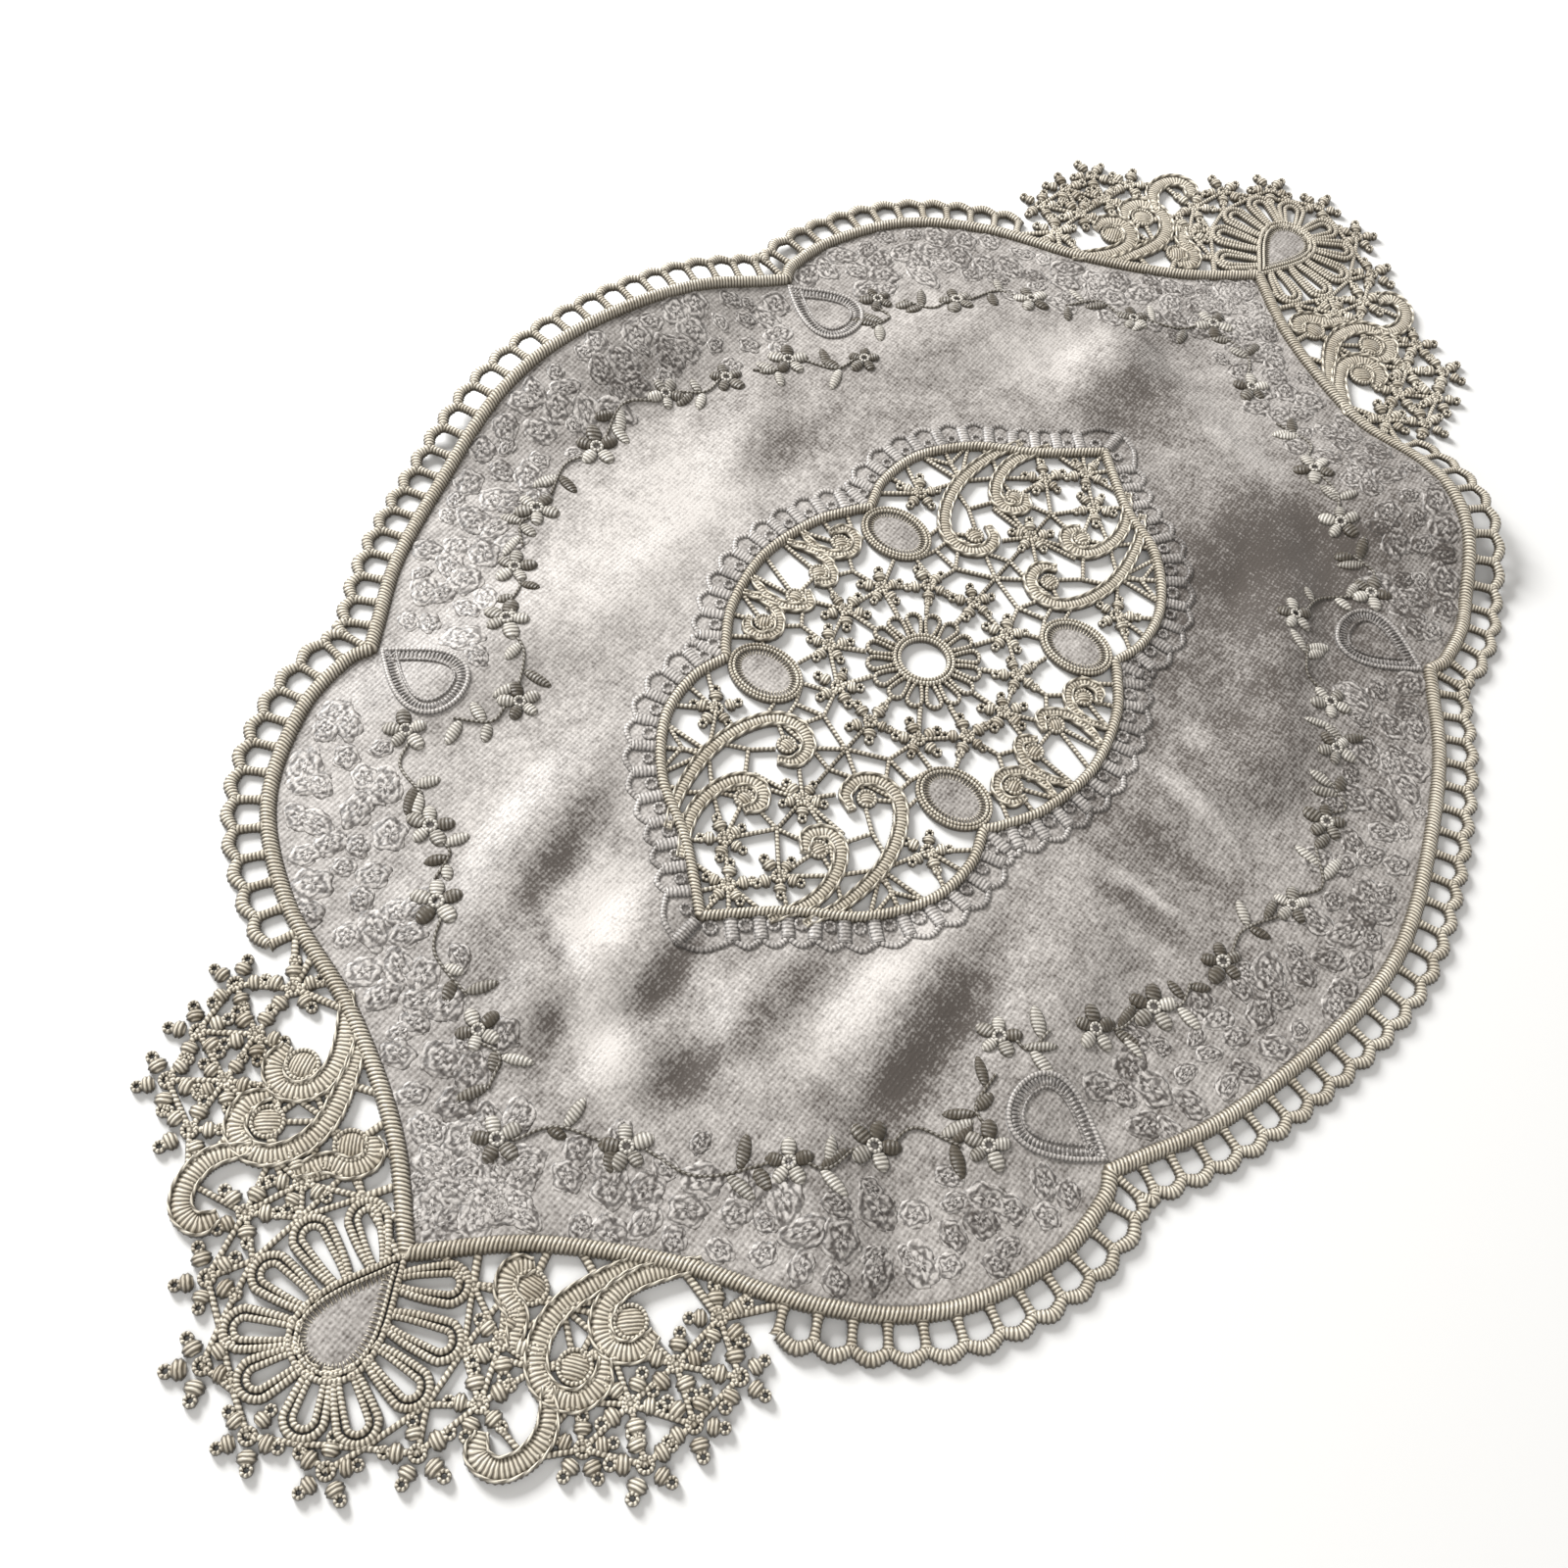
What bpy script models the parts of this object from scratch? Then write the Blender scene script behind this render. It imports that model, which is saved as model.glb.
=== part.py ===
"""A lace placemat, laid out flat.

A satin field with a lobed outline is edged with a thick stitched cord. Outside the cord runs a
lace border, a ladder with scallops along the two long sides and a fan of flowers and scrolls at
each end. A second corded opening in the middle of the field is filled with lace too. Six small
satin inlays sit in the lace.

Every piece is drawn on the flat pattern in millimetres, and lay() then carries it to its place,
in metres, over the soft folds of the cloth. The origin is under the middle of the mat, +X runs
along its long axis and +Z is up.
"""
import math
from collections import namedtuple

import bmesh
import bpy
import numpy as np
from mathutils import Vector
from mathutils.geometry import delaunay_2d_cdt

MM = 0.001

# Thicknesses and widths
SATIN_THICKNESS = 1.2
LACE_THICKNESS = 1.6
CORD_WIDTH = 3.2
CORD_HEIGHT = 2.2
CORD_SHOULDER = 0.6
SEAM_GAP = 0.3
RAIL_WIDTH = 1.0
BRIDE_WIDTH = 1.5
BAND_WIDTH = 4.0

# The cloth's outline: a pointed end lobe up to the notch, then half of a side lobe
TIP_X = 180.0
END_LOBE = [(TIP_X, 0.0), (163.8, 18.0), (150.3, 41.9), (140.4, 68.4), (125.5, 88.2),
            (104.6, 99.2), (88.5, 101.3)]
NOTCH = (81.9, 99.4)
SIDE_LOBE = [(75.6, 103.0), (60.3, 111.6), (41.4, 118.4), (18.0, 124.6), (0.0, 126.6)]

# The middle opening, drawn the same way
OPENING_END_LOBE = [(88.5, 0.0), (75.5, 14.0), (66.2, 27.5), (53.5, 36.6), (40.5, 38.8)]
OPENING_NOTCH = (30.5, 36.3)
OPENING_SIDE_LOBE = [(26.5, 39.3), (16.5, 44.6), (0.0, 47.6)]

# Sampling of outlines and of the cloth's surface
OPENING_STEP = 6.5
CLOTH_STEP = 12.0

# The ladder along the long sides
LADDER_PITCH = 6.6
LADDER_END_Y = 60.0
LADDER_GAP_START = 2.4
LADDER_GAP_END = 6.7
LADDER_EDGE = 7.7
SCALLOP_RISE = 0.7
LADDER_BAR = 1.9

# Lace motifs. Gaps smaller than this stay closed
SMALLEST_GAP_AREA = 13.0
FLOWER_RADIUS = 7.0
OPENING_FLOWER_RADIUS = 5.9
WAIST_SHARE = 0.7
PETALS = 5
STRAIGHT_ANGLE = 6.0
CURL_RADIUS = 4.4
NEIGHBOUR_REACH = 14.2
BRIDE_REACH = 17.0

# Flowers of one half of an end fan: place
FAN_FLOWERS = [(153.8, 53.8), (165.5, 52.5), (160.2, 63.3), (176.2, 50.2), (172.0, 61.6),
               (187.4, 48.2), (182.8, 58.8), (182.0, 24.5), (192.6, 28.6), (205.5, 25.4),
               (217.2, 14.8)]
FAN_TIP_FLOWER = (221.0, 0.0)

# Scroll bands of one half of an end fan, each from its tail to the disc that ends it
FAN_SCROLLS = [
    [(154.5, 36.5), (163.2, 31.8), (170.0, 29.2), (176.5, 29.6), (181.6, 32.6), (183.6, 37.0),
     (181.8, 42.0), (177.2, 43.4)],
    [(148.5, 44.5), (158.0, 36.9), (164.3, 35.4), (169.0, 37.2), (170.6, 41.2), (167.2, 44.6)],
    [(183.4, 37.4), (188.8, 41.0), (194.6, 40.8), (198.8, 38.0), (198.8, 34.2), (195.6, 33.0)],
    [(181.5, 27.0), (176.4, 23.6), (174.6, 19.4), (170.6, 17.4), (167.2, 20.2)],
]
FAN_CURLS = [(177.0, 39.6), (164.4, 41.2), (195.2, 35.6), (170.8, 21.4)]

# The satin drop at the heart of each fan and the loops that stand round it: root, tip
DROP_START = 183.0
DROP_LENGTH = 23.0
DROP_HALF_WIDTH = 7.4
DROP_RIM = 2.3
LOOP_WIDTH = 8.4
LOOPS = [((186.0, 3.0), (177.4, 13.2)), ((192.6, 6.6), (187.4, 19.6)),
         ((197.5, 7.5), (198.2, 20.8)), ((201.8, 5.6), (210.2, 17.2)),
         ((204.2, 2.4), (216.4, 7.3))]

# The middle lace: an eyelet wheel, a ring of flowers, four satin ovals, and motifs in a quadrant
WHEEL_HOLE = 5.5
WHEEL_RADIUS = 14.2
RING_RADIUS = 22.9
RING_FLOWERS = 12
OVAL_CENTRE = (28.0, 26.6)
OVAL_HALF_WIDTH = 6.2
OVAL_HALF_HEIGHT = 8.0
OVAL_RIM = 2.2
OPENING_FLOWERS = [(43.6, 29.2), (69.8, 7.6)]
OPENING_AXIS_FLOWERS = [(50.4, 0.0), (77.5, 0.0)]
OPENING_SCROLLS = [
    [(76.0, 18.6), (66.0, 22.4), (54.0, 23.8), (43.8, 21.8), (36.8, 17.2), (35.2, 11.4),
     (38.2, 7.0)],
    [(80.0, 12.0), (70.0, 16.6), (61.8, 16.8), (55.6, 14.0), (54.0, 9.4), (57.2, 6.6)],
]
OPENING_CURLS = [(41.2, 10.6), (59.0, 9.6), (5.0, 33.6), (16.6, 34.9)]

# The net between them in a quadrant, each bar from end to end
OPENING_NET = [
    ((22.9, 0.0), (33.0, 0.0)), ((33.0, 0.0), (38.6, 6.8)), ((19.8, 11.5), (28.8, 9.2)),
    ((28.8, 9.2), (33.0, 0.0)), ((28.8, 9.2), (36.0, 12.6)), ((21.5, 10.4), (24.6, 19.0)),
    ((11.5, 19.8), (20.8, 22.6)), ((11.5, 19.8), (11.0, 28.2)), ((11.0, 28.2), (5.0, 33.6)),
    ((11.0, 28.2), (16.6, 34.9)), ((33.8, 20.4), (38.6, 18.8)), ((47.6, 17.2), (43.4, 12.6)),
    ((47.6, 17.2), (50.6, 23.4)), ((47.6, 17.2), (54.8, 13.0)), ((60.4, 0.0), (50.4, 0.0)),
    ((60.4, 0.0), (69.8, 7.6)), ((60.4, 0.0), (58.8, 9.0)), ((57.0, 29.0), (55.6, 23.8)),
    ((57.0, 29.0), (54.0, 36.0)), ((57.0, 29.0), (65.0, 29.0)), ((66.0, 22.4), (67.6, 26.4)),
]

# Mirror images of a motif, and what their sides are called
QUADRANTS = [(1, 1), (1, -1), (-1, 1), (-1, -1)]
SIDE_NAMES = {1: "right", -1: "left"}
ROW_NAMES = {1: "back", -1: "front"}

# Soft folds of the cloth, each an oval swelling that runs along its turn, in degrees
Fold = namedtuple("Fold", "x y turn half_length half_width height")
FOLDS = [Fold(*row) for row in (
    (-118.0, 20.0, 100.0, 42.0, 20.0, 2.6),
    (-112.0, -38.0, 60.0, 46.0, 17.0, 3.0),
    (-62.0, -72.0, 12.0, 56.0, 19.0, 3.2),
    (22.0, -76.0, 155.0, 44.0, 17.0, 2.4),
    (62.0, -66.0, 24.0, 50.0, 14.0, 2.8),
    (112.0, -12.0, 70.0, 52.0, 18.0, 2.6),
    (96.0, 52.0, -30.0, 46.0, 18.0, 2.8),
    (-64.0, 78.0, -12.0, 52.0, 18.0, 2.4),
    (34.0, 124.0, 172.0, 78.0, 34.0, 9.0),
    (134.0, -82.0, 118.0, 58.0, 32.0, 7.5),
    (-128.0, -60.0, 30.0, 34.0, 16.0, 1.8),
)]

# Colours and finishes: base colour, roughness
SATIN_FINISH = ((0.50, 0.46, 0.45), 0.38)
LACE_FINISH = ((0.42, 0.36, 0.28), 0.62)
CORD_FINISH = ((0.46, 0.40, 0.31), 0.55)

COLLECTION_NAME = "lace_placemat"


def clear_scene():
    """Remove the objects that a new file starts with."""
    for item in list(bpy.data.objects):
        bpy.data.objects.remove(item, do_unlink=True)


def make_material(name, finish):
    """A Principled material with the piece's colour and roughness."""
    colour, roughness = finish
    material = bpy.data.materials.new(name)
    material.use_nodes = True
    shader = material.node_tree.nodes["Principled BSDF"]
    shader.inputs["Base Color"].default_value = (*colour, 1.0)
    shader.inputs["Roughness"].default_value = roughness
    shader.inputs["Metallic"].default_value = 0.0
    return material


def fold_height(point):
    """Height of the cloth's underside over the table: the sum of soft oval swellings."""
    total = 0.0
    for fold in FOLDS:
        x, y = point[0] - fold.x, point[1] - fold.y
        turn = math.radians(fold.turn)
        along = x * math.cos(turn) + y * math.sin(turn)
        across = y * math.cos(turn) - x * math.sin(turn)
        reach = (along / fold.half_length) ** 2 + (across / fold.half_width) ** 2
        if reach < 1.0:
            total += fold.height * (1.0 - reach) ** 2
    return total


def lay(point, rise):
    """Place in metres of a pattern point that lies `rise` above the cloth's underside."""
    return Vector((point[0], point[1], fold_height(point) + rise)) * MM


def smooth_path(points, steps):
    """A Catmull-Rom curve through the points, with `steps` samples to each stretch."""
    points = [Vector(p) for p in points]
    padded = [2 * points[0] - points[1], *points, 2 * points[-1] - points[-2]]
    path = []
    for a, b, c, d in zip(padded, padded[1:], padded[2:], padded[3:]):
        for k in range(steps):
            t = k / steps
            path.append(0.5 * (2 * b + (c - a) * t + (2 * a - 5 * b + 4 * c - d) * t * t
                               + (3 * b - a - 3 * c + d) * t ** 3))
    return path + [points[-1]]


def resample(path, pitch):
    """The path cut into even steps as near to the pitch as its length allows."""
    lengths = [(b - a).length for a, b in zip(path, path[1:])]
    count = max(1, round(sum(lengths) / pitch))
    step = sum(lengths) / count
    samples = [path[0].copy()]
    walked = 0.0
    for start, end, length in zip(path, path[1:], lengths):
        while len(samples) < count and walked + length >= step * len(samples):
            share = (step * len(samples) - walked) / length
            samples.append(start.lerp(end, share))
        walked += length
    return samples + [path[-1].copy()]


def lobed_half(end_lobe, notch, side_lobe, pitch):
    """Half of a lobed outline, from the +X tip over +Y to the -X tip, sharp at the notches."""
    end = resample(smooth_path([*end_lobe, notch], 6), pitch)
    mirrored = [(-x, y) for x, y in reversed(side_lobe[:-1])]
    side = resample(smooth_path([notch, *side_lobe, *mirrored, (-notch[0], notch[1])], 6), pitch)
    other_end = [Vector((-p.x, p.y)) for p in reversed(end)]
    return end[:-1] + side[:-1] + other_end


def closed_from_half(half):
    """The whole outline: the half and its mirror image below the long axis."""
    return half[:-1] + [Vector((-p.x, -p.y)) for p in half[:-1]]


def offset_path(path, distance, closed):
    """The path moved sideways, outwards for a counter-clockwise loop, with mitred corners."""
    moved = []
    last = len(path) - 1
    for i, point in enumerate(path):
        before = path[i - 1] if closed or i > 0 else point
        after = path[(i + 1) % len(path)] if closed or i < last else point
        arrive = (point - before) if before is not point else (after - point)
        leave = (after - point) if after is not point else arrive
        side_in = Vector((arrive.y, -arrive.x)).normalized()
        side_out = Vector((leave.y, -leave.x)).normalized()
        middle = (side_in + side_out).normalized()
        moved.append(point + middle * distance / max(middle.dot(side_in), 0.5))
    return moved


def strip(path, width, closed=False):
    """Four-sided fields of a band of this width along the path."""
    left = offset_path(path, -width / 2, closed)
    right = offset_path(path, width / 2, closed)
    count = len(path) if closed else len(path) - 1
    fields = []
    for i in range(count):
        j = (i + 1) % len(path)
        fields.append([left[i], right[i], right[j], left[j]])
    return fields


def flower(centre, radius=FLOWER_RADIUS):
    """Outline of a flower: a scalloped round with a point for each petal and each waist."""
    outline = []
    for k in range(2 * PETALS):
        reach = radius * WAIST_SHARE if k % 2 else radius
        angle = math.pi * k / PETALS + 0.3
        outline.append(Vector(centre) + reach * Vector((math.cos(angle), math.sin(angle))))
    return outline


def oval(centre, half_width, half_height, sides):
    """Outline of an oval, or of a disc where both halves are equal."""
    return [Vector((centre[0] + half_width * math.cos(math.tau * k / sides),
                    centre[1] + half_height * math.sin(math.tau * k / sides)))
            for k in range(sides)]


def petal(root, tip, width):
    """Outline of a long petal from its root to its rounded tip."""
    root, tip = Vector(root), Vector(tip)
    along = tip - root
    across = Vector((-along.y, along.x)).normalized() * width / 2
    shares = [(0.0, 0.35), (0.55, 0.95), (0.85, 0.8), (1.0, 0.3)]
    right = [root + along * at - across * half for at, half in shares]
    left = [root + along * at + across * half for at, half in reversed(shares)]
    return right + left


def drop(grow):
    """Outline of the satin drop, its point towards the mat, moved out by `grow`."""
    sides = 14
    outline = []
    for k in range(sides):
        turn = math.tau * (k + 0.5) / sides
        along = (1.0 - math.cos(turn)) / 2.0
        outline.append(Vector((DROP_START + DROP_LENGTH * along,
                               -DROP_HALF_WIDTH * 1.25 * math.sin(turn) * along ** 0.75)))
    return offset_path(outline, grow, True)


def mirrored(outline, flip_x, flip_y):
    """The outline in another quadrant, for flips of 1 or -1."""
    return [Vector((p[0] * flip_x, p[1] * flip_y)) for p in outline]


def brides(starts, targets):
    """A thin bar from each start to its nearest motif, where one is within reach."""
    bars = []
    for start in starts:
        nearest = min(targets, key=lambda target: (target - start).length)
        if (nearest - start).length < BRIDE_REACH:
            bars += strip([start, nearest], BRIDE_WIDTH)
    return bars


def neighbour_bars(centres):
    """Short bars that hold each flower or curl to the ones beside it."""
    bars = []
    for i, a in enumerate(centres):
        for b in centres[i + 1:]:
            if (b - a).length < NEIGHBOUR_REACH:
                bars += strip([a, b], BRIDE_WIDTH)
    return bars


def ladder(half):
    """Fields and gaps of the edging along one long side: one scalloped field for each unit."""
    run = [p for p in half if p.y > LADDER_END_Y]
    distances = (CORD_WIDTH / 2, LADDER_GAP_START, LADDER_GAP_END, LADDER_EDGE)
    inner, gap_in, gap_out, edge = [offset_path(run, distance, False) for distance in distances]
    fields = []
    gaps = []
    for i in range(len(run) - 1):
        outward = offset_path([edge[i], edge[i + 1]], SCALLOP_RISE, False)
        crest = (outward[0] + outward[1]) / 2
        fields.append([inner[i], inner[i + 1], edge[i + 1], crest, edge[i]])
        sides = [(gap_in[i], gap_in[i + 1]), (gap_out[i], gap_out[i + 1])]
        shares = [LADDER_BAR / 2 / max((b - a).length, 2 * LADDER_BAR) for a, b in sides]
        near, far = [(a.lerp(b, k), b.lerp(a, k)) for (a, b), k in zip(sides, shares)]
        gaps.append([near[0], near[1], far[1], far[0]])
    return fields, gaps


def fan(half):
    """Motifs and bars of one end of the border, at +X."""
    fields = []
    centres = []
    for side in (1, -1):
        flowers = mirrored(FAN_FLOWERS, 1, side)
        curls = mirrored(FAN_CURLS, 1, side)
        fields += [flower(p) for p in flowers]
        fields += [oval(p, CURL_RADIUS, CURL_RADIUS, 8) for p in curls]
        centres += flowers + curls
        for scroll in FAN_SCROLLS:
            path = smooth_path(mirrored(scroll, 1, side), 2)
            fields += strip(path, BAND_WIDTH)
            centres += path[2:-3:4]
        for root, tip in LOOPS:
            fields.append(petal(*mirrored([root, tip], 1, side), LOOP_WIDTH))
    fields.append(flower(FAN_TIP_FLOWER))
    fields.append(drop(DROP_RIM))
    centres.append(Vector(FAN_TIP_FLOWER))
    targets = centres + [Vector((tip[0], tip[1] * side)) for _, tip in LOOPS for side in (1, -1)]
    fields += neighbour_bars(targets)
    run = [p for p in half if p.x > 0 and p.y <= LADDER_END_Y + LADDER_PITCH]
    run = [Vector((p.x, -p.y)) for p in reversed(run[1:])] + run
    rail = offset_path(run, (CORD_WIDTH + RAIL_WIDTH) / 2, False)
    ladder_ends = [offset_path(run, LADDER_GAP_END, False)[i] for i in (1, -2)]
    fields += strip(rail, RAIL_WIDTH + SEAM_GAP)
    fields += brides(rail + ladder_ends, targets)
    return fields


def middle_lace(opening):
    """Motifs and bars inside the corded opening."""
    rail = offset_path(opening, -(CORD_WIDTH + RAIL_WIDTH) / 2, True)
    fields = strip(rail, RAIL_WIDTH + SEAM_GAP, True)
    centres = []
    wheel = oval((0, 0), (WHEEL_RADIUS + WHEEL_HOLE) / 2, (WHEEL_RADIUS + WHEEL_HOLE) / 2, 16)
    fields += strip(wheel, WHEEL_RADIUS - WHEEL_HOLE, True)
    for k in range(RING_FLOWERS):
        angle = math.tau * k / RING_FLOWERS
        out = Vector((math.cos(angle), math.sin(angle)))
        fields.append(flower(out * RING_RADIUS, OPENING_FLOWER_RADIUS))
        fields += strip([out * (WHEEL_RADIUS - 1.0), out * RING_RADIUS], BRIDE_WIDTH)
        centres.append(out * RING_RADIUS)
    for flip_x in (1, -1):
        for centre in OPENING_AXIS_FLOWERS:
            fields.append(flower(mirrored([centre], flip_x, 1)[0], OPENING_FLOWER_RADIUS))
            centres.append(mirrored([centre], flip_x, 1)[0])
        for flip_y in (1, -1):
            oval_centre = mirrored([OVAL_CENTRE], flip_x, flip_y)[0]
            fields.append(oval(oval_centre, OVAL_HALF_WIDTH + OVAL_RIM,
                               OVAL_HALF_HEIGHT + OVAL_RIM, 16))
            flowers = mirrored(OPENING_FLOWERS, flip_x, flip_y)
            curls = mirrored(OPENING_CURLS, flip_x, flip_y)
            fields += [flower(p, OPENING_FLOWER_RADIUS) for p in flowers]
            fields += [oval(p, CURL_RADIUS, CURL_RADIUS, 8) for p in curls]
            centres += flowers + curls + [oval_centre]
            for bar in OPENING_NET:
                fields += strip(mirrored(bar, flip_x, flip_y), BRIDE_WIDTH)
            for scroll in OPENING_SCROLLS:
                path = smooth_path(mirrored(scroll, flip_x, flip_y), 2)
                fields += strip(path, BAND_WIDTH)
                centres += path[2:-3:4]
    fields += neighbour_bars(centres)
    fields += brides(rail, centres)
    return fields


def signed_area(outline):
    """Area of an outline, positive where it runs counter-clockwise."""
    return sum(a.x * b.y - a.y * b.x for a, b in zip(outline, outline[1:] + outline[:1])) / 2


def inside(points, outline):
    """Which of the points lie inside the outline: those with an odd count of edges beyond them."""
    x, y = points[:, :1], points[:, 1:]
    start = np.array(outline)
    end = np.roll(start, -1, axis=0)
    crossing = (start[:, 1] > y) != (end[:, 1] > y)
    with np.errstate(divide="ignore", invalid="ignore"):
        slope = (end[:, 0] - start[:, 0]) / (end[:, 1] - start[:, 1])
        beyond = x < start[:, 0] + (y - start[:, 1]) * slope
    return (crossing & beyond).sum(axis=1) % 2 == 1


def joined_fields(added, removed=(), within=None, inner_points=()):
    """One flat mesh, in millimetres, of all added outlines less the removed ones.

    Where `within` is given, the mesh ends at that outline.
    """
    points = []
    faces = []
    edges = []
    limits = [*removed, *([within] if within else [])]
    for outline in [*added, *limits]:
        ring = list(range(len(points), len(points) + len(outline)))
        points += outline if signed_area(outline) > 0 else outline[::-1]
        if len(faces) < len(added):
            faces.append(ring)
        else:
            edges += zip(ring, ring[1:] + ring[:1])
    points += inner_points
    flat, _, cells, _, _, sources = delaunay_2d_cdt(points, edges, faces, 0, 1e-4)
    cells = [cell for cell, source in zip(cells, sources) if source]
    middles = np.array([(flat[a] + flat[b] + flat[c]) / 3 for a, b, c in cells])
    kept = inside(middles, within) if within else np.full(len(cells), True)
    for outline in removed:
        kept &= ~inside(middles, outline)
    mesh = bmesh.new()
    corners = [mesh.verts.new((p.x, p.y, 0.0)) for p in flat]
    for cell, keep in zip(cells, kept):
        if keep:
            mesh.faces.new([corners[i] for i in cell])
    loose = [v for v in mesh.verts if not v.link_faces]
    bmesh.ops.delete(mesh, geom=loose, context="VERTS")
    return mesh


def boundary_loops(mesh):
    """The open edges of a flat mesh, sorted into closed loops."""
    waiting = {edge for edge in mesh.edges if edge.is_boundary}
    loops = []
    while waiting:
        edge = waiting.pop()
        loop = [edge]
        corner = edge.verts[1]
        while True:
            following = [e for e in corner.link_edges if e in waiting]
            if not following:
                break
            edge = following[0]
            waiting.remove(edge)
            loop.append(edge)
            corner = edge.other_vert(corner)
        loops.append(loop)
    return loops


def loop_area(loop):
    """Area inside a loop of edges, by the fan of triangles from its middle."""
    corners = []
    for edge, following in zip(loop, loop[1:] + loop[:1]):
        shared = set(edge.verts) & set(following.verts)
        corners.append(next(iter(shared)).co)
    total = 0.0
    for a, b in zip(corners, corners[1:] + corners[:1]):
        total += a.x * b.y - a.y * b.x
    return abs(total) / 2


def close_small_gaps(mesh):
    """Fill the gaps that are too small to be cut through."""
    for loop in boundary_loops(mesh):
        if loop_area(loop) < SMALLEST_GAP_AREA:
            bmesh.ops.holes_fill(mesh, edges=loop, sides=0)


def simplify(mesh, seams):
    """Merge the flat faces, straighten nearly straight edges and cut into triangles again.

    Points on the seams stay, so that the lace keeps its distance to the cords and inlays.
    """
    kept = {(round(p[0], 3), round(p[1], 3)) for seam in seams for p in seam}
    free = [v for v in mesh.verts if (round(v.co.x, 3), round(v.co.y, 3)) not in kept]
    bmesh.ops.dissolve_limit(mesh, angle_limit=math.radians(STRAIGHT_ANGLE),
                             use_dissolve_boundaries=False, verts=free, edges=mesh.edges[:])
    bmesh.ops.triangulate(mesh, faces=mesh.faces[:])


def add_piece(name, mesh, material, collection):
    """Put a finished mesh into the collection under the piece's name."""
    data = bpy.data.meshes.new(name)
    mesh.to_mesh(data)
    mesh.free()
    data.materials.append(material)
    piece = bpy.data.objects.new(name, data)
    collection.objects.link(piece)
    return piece


def thicken(mesh, thickness):
    """Raise a flat mesh to its thickness and lay it over the folds."""
    raised = bmesh.ops.extrude_face_region(mesh, geom=mesh.faces[:], use_keep_orig=True)
    top = {v for v in raised["geom"] if isinstance(v, bmesh.types.BMVert)}
    for vert in mesh.verts:
        vert.co = lay(vert.co, thickness if vert in top else 0.0)
    bmesh.ops.recalc_face_normals(mesh, faces=mesh.faces[:])


def cloth_grid(outline, hole):
    """Points of a staggered grid that stand clear of the edges of the cloth."""
    clear = CLOTH_STEP * 0.45
    edge = outline + hole
    points = []
    rows = int(130.0 / (CLOTH_STEP * 0.87))
    for row in range(-rows, rows + 1):
        y = row * CLOTH_STEP * 0.87
        for column in range(-16, 17):
            point = Vector(((column + 0.5 * (row % 2)) * CLOTH_STEP, y))
            if min((point - p).length for p in edge) > clear:
                points.append(point)
    return points


def build_field(collection, satin, outline, opening):
    """The satin sheet, between the edge cord and the cord of the opening."""
    clearance = CORD_WIDTH / 2 + SEAM_GAP
    outer = offset_path(outline, -clearance, True)
    inner = offset_path(opening, clearance, True)
    mesh = joined_fields([outer], [inner], inner_points=cloth_grid(outer, inner))
    thicken(mesh, SATIN_THICKNESS)
    add_piece("satin_field", mesh, satin, collection)


def build_cord(name, collection, material, loop):
    """A stitched cord: a low domed section carried round the loop."""
    half = CORD_WIDTH / 2
    shoulder = CORD_SHOULDER * CORD_HEIGHT
    section = [(-half, 0.0), (half, 0.0), (half, shoulder), (0.0, CORD_HEIGHT), (-half, shoulder)]
    mesh = bmesh.new()
    rings = []
    for across, rise in section:
        line = offset_path(loop, across, True)
        rings.append([mesh.verts.new(lay(p, rise)) for p in line])
    for line, following in zip(rings, rings[1:] + rings[:1]):
        for i in range(len(loop)):
            j = (i + 1) % len(loop)
            mesh.faces.new((line[i], line[j], following[j], following[i]))
    bmesh.ops.recalc_face_normals(mesh, faces=mesh.faces[:])
    add_piece(name, mesh, material, collection)


def build_border(collection, material, half):
    """The lace border: a ladder on both long sides and a fan at both ends, in one piece."""
    ladder_fields, gaps = ladder(half)
    fan_fields = fan(half)
    fields = ladder_fields + [mirrored(field, 1, -1) for field in ladder_fields]
    fields += fan_fields + [mirrored(field, -1, 1) for field in fan_fields]
    seams = [offset_path(closed_from_half(half), CORD_WIDTH / 2 + SEAM_GAP, True),
             drop(SEAM_GAP), mirrored(drop(SEAM_GAP), -1, 1)]
    gaps += [mirrored(gap, 1, -1) for gap in gaps]
    mesh = joined_fields(fields, seams + gaps)
    finish_lace("lace_border", mesh, seams, material, collection)


def build_middle_lace(collection, material, opening):
    """The lace of the opening, in one piece, with room for the satin ovals."""
    edge = offset_path(opening, -CORD_WIDTH / 2 - SEAM_GAP, True)
    ovals = [satin_oval(flip_x, flip_y, SEAM_GAP) for flip_x, flip_y in QUADRANTS]
    eyelet = oval((0.0, 0.0), WHEEL_HOLE, WHEEL_HOLE, 16)
    mesh = joined_fields(middle_lace(opening), [*ovals, eyelet], edge)
    finish_lace("middle_lace", mesh, [edge, *ovals], material, collection)


def finish_lace(name, mesh, seams, material, collection):
    """Close the smallest gaps of a flat lace mesh, tidy it and give it its thickness."""
    close_small_gaps(mesh)
    simplify(mesh, seams)
    thicken(mesh, LACE_THICKNESS)
    add_piece(name, mesh, material, collection)


def satin_oval(flip_x, flip_y, grow):
    """Outline of the satin oval of a quadrant, moved out by `grow`."""
    centre = mirrored([OVAL_CENTRE], flip_x, flip_y)[0]
    return oval(centre, OVAL_HALF_WIDTH + grow, OVAL_HALF_HEIGHT + grow, 16)


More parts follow.
